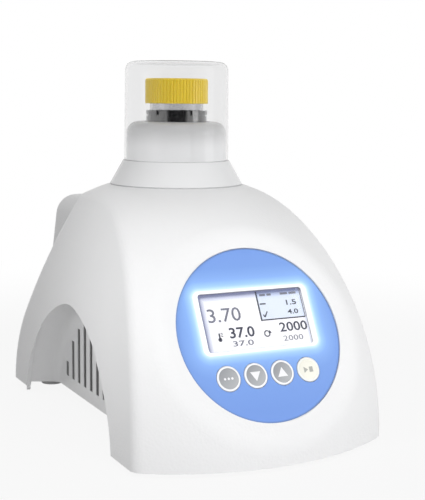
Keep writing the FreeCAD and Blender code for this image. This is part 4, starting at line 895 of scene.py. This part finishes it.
section = [(point_at(thimble, y=ceiling), 0.0), (section_point(ceiling, wall, ceiling_corners), 0.0),
           (section_point(ceiling, wall), inner_corner), (section_point(shoulder, wall), 0.0),
           (section_point(knee, wall), 0.0), (section_point(0.0, wall), rim),
           (section_point(0.0, 0.0), rim), (section_point(knee, 0.0), 0.0),
           (section_point(shoulder, 0.0), 0.0), (section_point(height, 0.0), corner),
           (section_point(height, 0.0, shoulder_corners), 0.0), (point_at(thimble, y=height), 0.0)]
print("section of", len(section), "points, each with its rounding")


# %% Draw the section
def chosen(tree, kind, choices):
    """Pick one of the choices by the point's own number."""
    switch = add(tree, "GeometryNodeIndexSwitch", data_type=kind)
    while len(switch.index_switch_items) < len(choices):
        switch.index_switch_items.new()
    number = add(tree, "GeometryNodeInputIndex").outputs[0]
    fill(tree, switch, dict(enumerate([number, *choices])))
    return switch.outputs[0]


row = add(thimble, "GeometryNodeMeshLine", {"Count": len(section)})
chain = add(thimble, "GeometryNodeMeshToCurve", {"Mesh": row.outputs[0]})
section_places = chosen(thimble, "VECTOR", [place for place, rounding in section])
section_roundings = chosen(thimble, "FLOAT", [rounding for place, rounding in section])
drawn = add(thimble, "GeometryNodeSetPosition", {"Geometry": chain.outputs[0], "Position": section_places})
filleted = add(thimble, "GeometryNodeFilletCurve",
               {"Curve": drawn.outputs[0], "Count": 8, "Radius": section_roundings}, mode="POLY")
print("section drawn:", len(thimble.nodes), "nodes")

# %% [markdown]
# Curve to Mesh carries the section along a circle of radius 1, so the section is moved in by 1 first
# and its own numbers stay true radii. A section's second axis points downwards on such a circle, so
# the section is mirrored too.

# %% Turn the section and grow the cover
carrier_radius = 1.0
circle = add(thimble, "GeometryNodeCurvePrimitiveCircle", {"Resolution": 128, "Radius": carrier_radius})
upright = add(thimble, "GeometryNodeSetCurveNormal", {"Curve": circle.outputs[0]}, mode="Z_UP")
centred = add(thimble, "GeometryNodeTransform", {
    "Geometry": filleted.outputs[0], "Translation": (-carrier_radius, 0, 0), "Scale": (1, -1, 1)})
swept = add(thimble, "GeometryNodeCurveToMesh", {"Curve": upright.outputs[0],
                                                 "Profile Curve": centred.outputs[0]})
placed = moved(thimble, swept.outputs[0], start.outputs["Foot"])
close_tree(thimble, end, smoothed(thimble, placed), start.outputs["Finish"])

cover = grown("turned_cover", thimble, {"Foot": tube_axis + Vector((0, 0, cover_low[2])),
                                        "Finish": finishes["clear_plastic"]})
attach(cover, "cover")
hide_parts("clear_cover")

# %% [markdown]
# ## Screw thread of the tube
# The cap screws onto some two and a half turns of a low round thread on the tube's mouth. It shows when
# the cap is turned up. A Spiral with the same radius at both ends is a helix, and a small circle
# carried along it makes the ridge, half sunk into the tube's wall.

# %% Thread tree
helix_sizes = {"Radius": 14.22 * mm, "Height": 8.0 * mm, "Pitch": 3.0 * mm, "Ridge": 0.45 * mm}
helix, start, end = new_group(
    "mouth_thread", "GeometryNodeTree",
    sizes_and(helix_sizes, Foot="NodeSocketVector", Finish="NodeSocketMaterial"),
    {"Geometry": "NodeSocketGeometry"})
radius, height, pitch, ridge = [start.outputs[label] for label in helix_sizes]
spiral = add(helix, "GeometryNodeCurveSpiral", {
    "Resolution": 48, "Rotations": maths(helix, "DIVIDE", height, pitch), "Start Radius": radius,
    "End Radius": radius, "Height": height})
dot = add(helix, "GeometryNodeCurvePrimitiveCircle", {"Resolution": 10, "Radius": ridge})
wound = add(helix, "GeometryNodeCurveToMesh", {"Curve": spiral.outputs[0], "Profile Curve": dot.outputs[0],
                                               "Fill Caps": True})
placed = moved(helix, wound.outputs[0], start.outputs["Foot"])
close_tree(helix, end, smoothed(helix, placed), start.outputs["Finish"])
print("thread tree:", len(helix.nodes), "nodes")

# %% Grow the thread
thread_below_mouth = 9.5 * mm
tube_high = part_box("culture_tube")[1][2]
mouth_thread = grown("mouth_thread", helix, {
    "Foot": tube_axis + Vector((0, 0, tube_high - thread_below_mouth)), "Finish": finishes["tube_clear"]})
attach(mouth_thread, "rotor")

# %% [markdown]
# ## Screws that can be seen
# Four countersunk screws hold the fan to the rear face, and four with straight heads close the base
# from below. All have a cross recess, which is cut with a boolean of two bars. One tree serves both
# kinds: a cone for the head, whose foot is as wide as its top on a straight one, a cylinder for the
# shank, and an instance of the pair on every point of the mesh that the modifier sits on. Those points
# are read from the CAD screws: a walk along the edges of a merged copy of their mesh parts one screw
# from the next. The geometry input stands first, because a modifier hands its mesh to the first one.


# %% Find the screws
def islands(name):
    """Lowest and highest corner of every loose part of a CAD piece."""
    copy = bmesh.new()
    copy.from_mesh(frame["nodes"][name].data)
    bmesh.ops.remove_doubles(copy, verts=copy.verts, dist=merge_distance)
    reached = set()
    boxes = []
    for first in copy.verts:
        if first in reached:
            continue
        reached.add(first)
        part = [first]
        for corner in part:
            for edge in corner.link_edges:
                neighbour = edge.other_vert(corner)
                if neighbour not in reached:
                    reached.add(neighbour)
                    part.append(neighbour)
        boxes.append(extent([corner.co for corner in part]))
    copy.free()
    return boxes


print("fan screws:", len(islands("fan_screws")), "base screws:", len(islands("base_screws")))

# %% Screw tree
screw_sizes = {"Head Radius": 2.8 * mm, "Foot Radius": 1.5 * mm, "Head Height": 1.8 * mm,
               "Shank Radius": 1.45 * mm, "Shank Length": 10 * mm, "Recess Width": 0.75 * mm,
               "Recess Length": 3.2 * mm, "Recess Depth": 1.0 * mm}
screw_inputs = {"Geometry": ("NodeSocketGeometry", None),
                **sizes_and(screw_sizes, Turn="NodeSocketVector", Finish="NodeSocketMaterial")}
fastener, start, end = new_group("cross_screws", "GeometryNodeTree", screw_inputs,
                                 {"Geometry": "NodeSocketGeometry"})
wanted = start.outputs
head = add(fastener, "GeometryNodeMeshCone", {
    "Vertices": 40, "Radius Top": wanted["Head Radius"], "Radius Bottom": wanted["Foot Radius"],
    "Depth": wanted["Head Height"]})
deep = maths(fastener, "MULTIPLY", wanted["Recess Depth"], 2.0)
bars = []
for bar_width, bar_length in (("Recess Width", "Recess Length"), ("Recess Length", "Recess Width")):
    size = point_at(fastener, wanted[bar_width], wanted[bar_length], deep)
    bars.append(add(fastener, "GeometryNodeMeshCube", {"Size": size}).outputs[0])
raised = moved(fastener, joined(fastener, *bars), point_at(fastener, z=wanted["Head Height"]))
cut = add(fastener, "GeometryNodeMeshBoolean", {"Mesh 1": head.outputs[0], "Mesh 2": raised,
                                                "Self Intersection": True},
          operation="DIFFERENCE", solver="EXACT")
print("screw head with a cross recess:", len(fastener.nodes), "nodes")

# %% Screw shank and places
shank = add(fastener, "GeometryNodeMeshCylinder", {"Vertices": 24, "Radius": wanted["Shank Radius"],
                                                   "Depth": wanted["Shank Length"]})
half_down = maths(fastener, "MULTIPLY", wanted["Shank Length"], -0.5)
lowered = moved(fastener, shank.outputs[0], point_at(fastener, z=half_down))
facing_turn = add(fastener, "FunctionNodeEulerToRotation", {0: wanted["Turn"]})
copies = add(fastener, "GeometryNodeInstanceOnPoints", {
    "Points": wanted["Geometry"], "Instance": joined(fastener, cut.outputs[0], lowered),
    "Rotation": facing_turn.outputs[0]})
close_tree(fastener, end, copies.outputs[0], wanted["Finish"])
print("screw tree:", len(fastener.nodes), "nodes")

# %% [markdown]
# The screws of the fan look out of the rear face, along +Y, and those of the base look down, along -Z.
# Each screw's own box says where its head sits, and the box of all four says how long they are.

# %% Grow the screws
head_height = screw_sizes["Head Height"]
countersunk_foot = screw_sizes["Foot Radius"]
straight_foot = screw_sizes["Head Radius"]
fan_places = [Vector(((low.x + high.x) / 2, high.y - head_height, (low.z + high.z) / 2))
              for low, high in islands("fan_screws")]
base_places = [Vector(((low.x + high.x) / 2, (low.y + high.y) / 2, low.z + head_height))
               for low, high in islands("base_screws")]
for name, places, turn, foot_radius, axis in (
        ("fan_screws", fan_places, (-math.pi / 2, 0, 0), countersunk_foot, 1),
        ("base_screws", base_places, (math.pi, 0, 0), straight_foot, 2)):
    low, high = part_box(name)
    screws = grown("cross_" + name, fastener, {
        "Turn": turn, "Foot Radius": foot_radius, "Shank Length": high[axis] - low[axis] - head_height,
        "Finish": finishes["steel_zinc"]}, places)
    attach(screws, "base")
    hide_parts(name)

# %% [markdown]
# ## Figures and marks
# The display's figures and the marks on the keys are thin flat shapes that lie just above their
# ground. Figures come from Blender's own font: a text is turned into a mesh and stretched to the box
# that it has on the panel. Marks are drawn from bars, discs and rings. Everything is drawn flat, in
# panel millimetres, and placed by the panel's matrix at the end.


# %% Drawing figures
def add_figures(sheet, characters, left, bottom, right, top, weight=0.0):
    """Write figures into a box of panel millimetres."""
    curve = bpy.data.curves.new("figures", "FONT")
    curve.body = characters
    curve.offset = weight
    curve.resolution_u = 3
    writer = bpy.data.objects.new("figures", curve)
    scene.collection.objects.link(writer)
    flat = bpy.data.meshes.new_from_object(writer.evaluated_get(bpy.context.evaluated_depsgraph_get()))
    bpy.data.objects.remove(writer)
    low, high = extent([corner.co for corner in flat.vertices])
    wide = (right - left) / (high.x - low.x)
    tall = (top - bottom) / (high.y - low.y)
    for corner in flat.vertices:
        corner.co = (left + (corner.co.x - low.x) * wide, bottom + (corner.co.y - low.y) * tall, 0)
    sheet.from_mesh(flat)
    bpy.data.meshes.remove(flat)


print("add_figures ready: it writes in Blender's own font")


# %% Drawing marks
def add_shape(sheet, points):
    """Filled outline, its points given against the clock."""
    sheet.faces.new([sheet.verts.new((u, v, 0)) for u, v in points])


def add_bar(sheet, begin, stop, width):
    """Straight bar between two places."""
    begin = Vector(begin)
    stop = Vector(stop)
    along = (stop - begin).normalized()
    side = Vector((-along.y, along.x)) * width / 2
    add_shape(sheet, [begin - side, stop - side, stop + side, begin + side])


def add_ring(sheet, middle, outer, inner, steps=32):
    """Ring, or a disc where inner is nothing."""
    turns = [2 * math.pi * i / steps for i in range(steps)]
    rims = [[(middle[0] + radius * math.cos(t), middle[1] + radius * math.sin(t)) for t in turns]
            for radius in (outer, inner)]
    if not inner:
        add_shape(sheet, rims[0])
        return
    for i in range(steps):
        j = (i + 1) % steps
        add_shape(sheet, [rims[0][i], rims[0][j], rims[1][j], rims[1][i]])


print("marks ready: add_shape, add_bar, add_ring")


# %% Placing a drawn sheet
def printed_piece(name, sheet, level, finish, body):
    """Turn a drawn sheet into a piece that lies at a level of the panel."""
    bmesh.ops.triangulate(sheet, faces=sheet.faces)
    sheet.normal_update()
    bmesh.ops.reverse_faces(sheet, faces=[face for face in sheet.faces if face.normal.z < 0])
    lay_down = panel_place @ Matrix.Translation((0, 0, level)) @ Matrix.Scale(mm, 4)
    bmesh.ops.transform(sheet, matrix=lay_down, verts=sheet.verts)
    mesh = bpy.data.meshes.new(name)
    sheet.to_mesh(mesh)
    sheet.free()
    mesh.materials.append(finish)
    piece = bpy.data.objects.new(name, mesh)
    scene.collection.objects.link(piece)
    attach(piece, body)
    print(name, "has", len(mesh.polygons), "faces")


# %% [markdown]
# Four inks print them. The readings have a dark and a softer one, because thin strokes on such a
# display look paler than bold ones, and the keys have a white and a grey one. The dark ink lies a
# hundredth of a millimetre above the soft one, so that the two share no plane where they cross.


# %% Inks
def ink(name, colour):
    """Flat printing colour with the shared uneven gloss."""
    tree, shader = shader_of(name, {"Base Color": (*colour, 1), "Specular IOR Level": 0.2})
    fill(tree, shader, {"Roughness": use(tree, sheen, Roughness=0.5, Swing=0.05, Patch=8 * mm)})
    return finishes[name]


dark_ink = ink("figure_dark", (0.045, 0.05, 0.085))
soft_ink = ink("figure_soft", (0.20, 0.21, 0.27))
white_ink = ink("key_print_white", (0.88, 0.88, 0.90))
grey_ink = ink("key_print_grey", (0.45, 0.45, 0.42))
ink_height = 0.04 * mm
dark_ink_height = 0.05 * mm
print("four inks, finishes in all:", len(finishes))

# %% [markdown]
# ## The readings
# The left half shows one large thin reading, the middle a set value in bold over its measured value,
# and the lower right the same for the speed. The upper right corner has a framed field with two short
# readings. Units are given by plain marks: a small thermometer and a turning ring. Each row below
# gives the left, lower, right and upper edge of its figures.

# %% Readings in thin and soft ink
soft_level = display_face_depth + ink_height
field_left = field_low.x / mm
field_right = field_high.x / mm
field_bottom = field_low.y / mm
field_top = field_high.y / mm
soft_sheet = bmesh.new()
add_figures(soft_sheet, "3.70", -24.8, 7.5, -7.3, 14.3, weight=0.004)
add_figures(soft_sheet, "37.0", -14.7, -4.9, -3.6, -2.2, weight=0.012)
add_figures(soft_sheet, "2000", 12.8, -4.6, 23.8, -2.0)
add_bar(soft_sheet, (field_right, field_bottom), (field_right, field_top), 0.5)
for left, right in ((5.0, 8.2), (9.0, 11.4), (16.4, 20.6), (21.4, 25.4)):
    add_bar(soft_sheet, (left, 19.2), (right, 19.2), 1.1)
printed_piece("readings_soft", soft_sheet, soft_level, soft_ink, "base")

# %% Readings in dark ink
dark_level = display_face_depth + dark_ink_height
dark_sheet = bmesh.new()
add_figures(dark_sheet, "37.0", -15.4, -0.9, -2.0, 4.4, weight=0.018)
add_figures(dark_sheet, "2000", 12.0, 0.0, 27.4, 4.7, weight=0.012)
add_figures(dark_sheet, "1.5", 18.8, 13.2, 24.4, 15.8, weight=0.015)
add_figures(dark_sheet, "4.0", 18.4, 8.6, 24.4, 11.0, weight=0.015)
field_lines = [((field_left, field_top), (field_left, field_bottom - 0.4), 0.8),
               ((field_left, field_bottom), (field_right, field_bottom), 0.6)]
dash = [((4.2, 14.7), (7.4, 14.7), 0.7)]
tick = [((4.8, 9.3), (5.6, 8.1), 0.6), ((5.5, 8.1), (7.3, 10.8), 0.6)]
for begin, stop, width in field_lines + dash + tick:
    add_bar(dark_sheet, begin, stop, width)
print("dark figures, dash and tick:", len(dark_sheet.faces), "faces")

# %% Thermometer and turning ring
bulb = (-20.8, -0.9)
add_ring(dark_sheet, bulb, 1.0, 0)
add_bar(dark_sheet, bulb, (bulb[0], 2.2), 0.8)
for level in (0.6, 1.4, 2.2):
    add_bar(dark_sheet, (-20.0, level), (-18.9, level), 0.35)
add_ring(dark_sheet, (4.6, -0.1), 1.7, 1.1)
add_shape(dark_sheet, [(5.3, 0.0), (7.1, 0.0), (6.2, 1.5)])
printed_piece("readings_dark", dark_sheet, dark_level, dark_ink, "base")

# %% [markdown]
# ## Marks on the keys
# Each key carries one plain mark: three dots for choosing, an arrow down, an arrow up, and a small
# start and stop sign on the cream key. They lie on the key's disc, which is lower than its rim. Every
# mark rides on its own key, so it goes down with it.

# %% Key marks
key_rim_height = 0.25 * mm
mark_level = key_top - key_rim_height + ink_height
marks = {name: bmesh.new() for name in key_names}
centres = [(middle.x / mm, middle.y / mm) for middle in key_middles]
u, v = centres[0]
for step in (-1.9, 0.0, 1.9):
    add_ring(marks["button_select"], (u + step, v), 0.6, 0, steps=16)
u, v = centres[1]
add_shape(marks["button_down"], [(u - 2.7, v + 1.9), (u, v - 2.7), (u + 2.7, v + 1.9)])
u, v = centres[2]
add_shape(marks["button_up"], [(u - 2.7, v - 1.9), (u + 2.7, v - 1.9), (u, v + 2.7)])
u, v = centres[3]
add_shape(marks["button_run"], [(u - 2.4, v - 1.5), (u - 0.1, v), (u - 2.4, v + 1.5)])
add_shape(marks["button_run"], [(u + 0.5, v - 1.3), (u + 2.5, v - 1.3), (u + 2.5, v + 1.3),
                                (u + 0.5, v + 1.3)])
for name in key_names:
    finish, slot = (grey_ink, "key_cream") if name == "button_run" else (white_ink, "key_grey")
    printed_piece("mark_" + name, marks[name], mark_level, finish, name.replace("button", "key"))
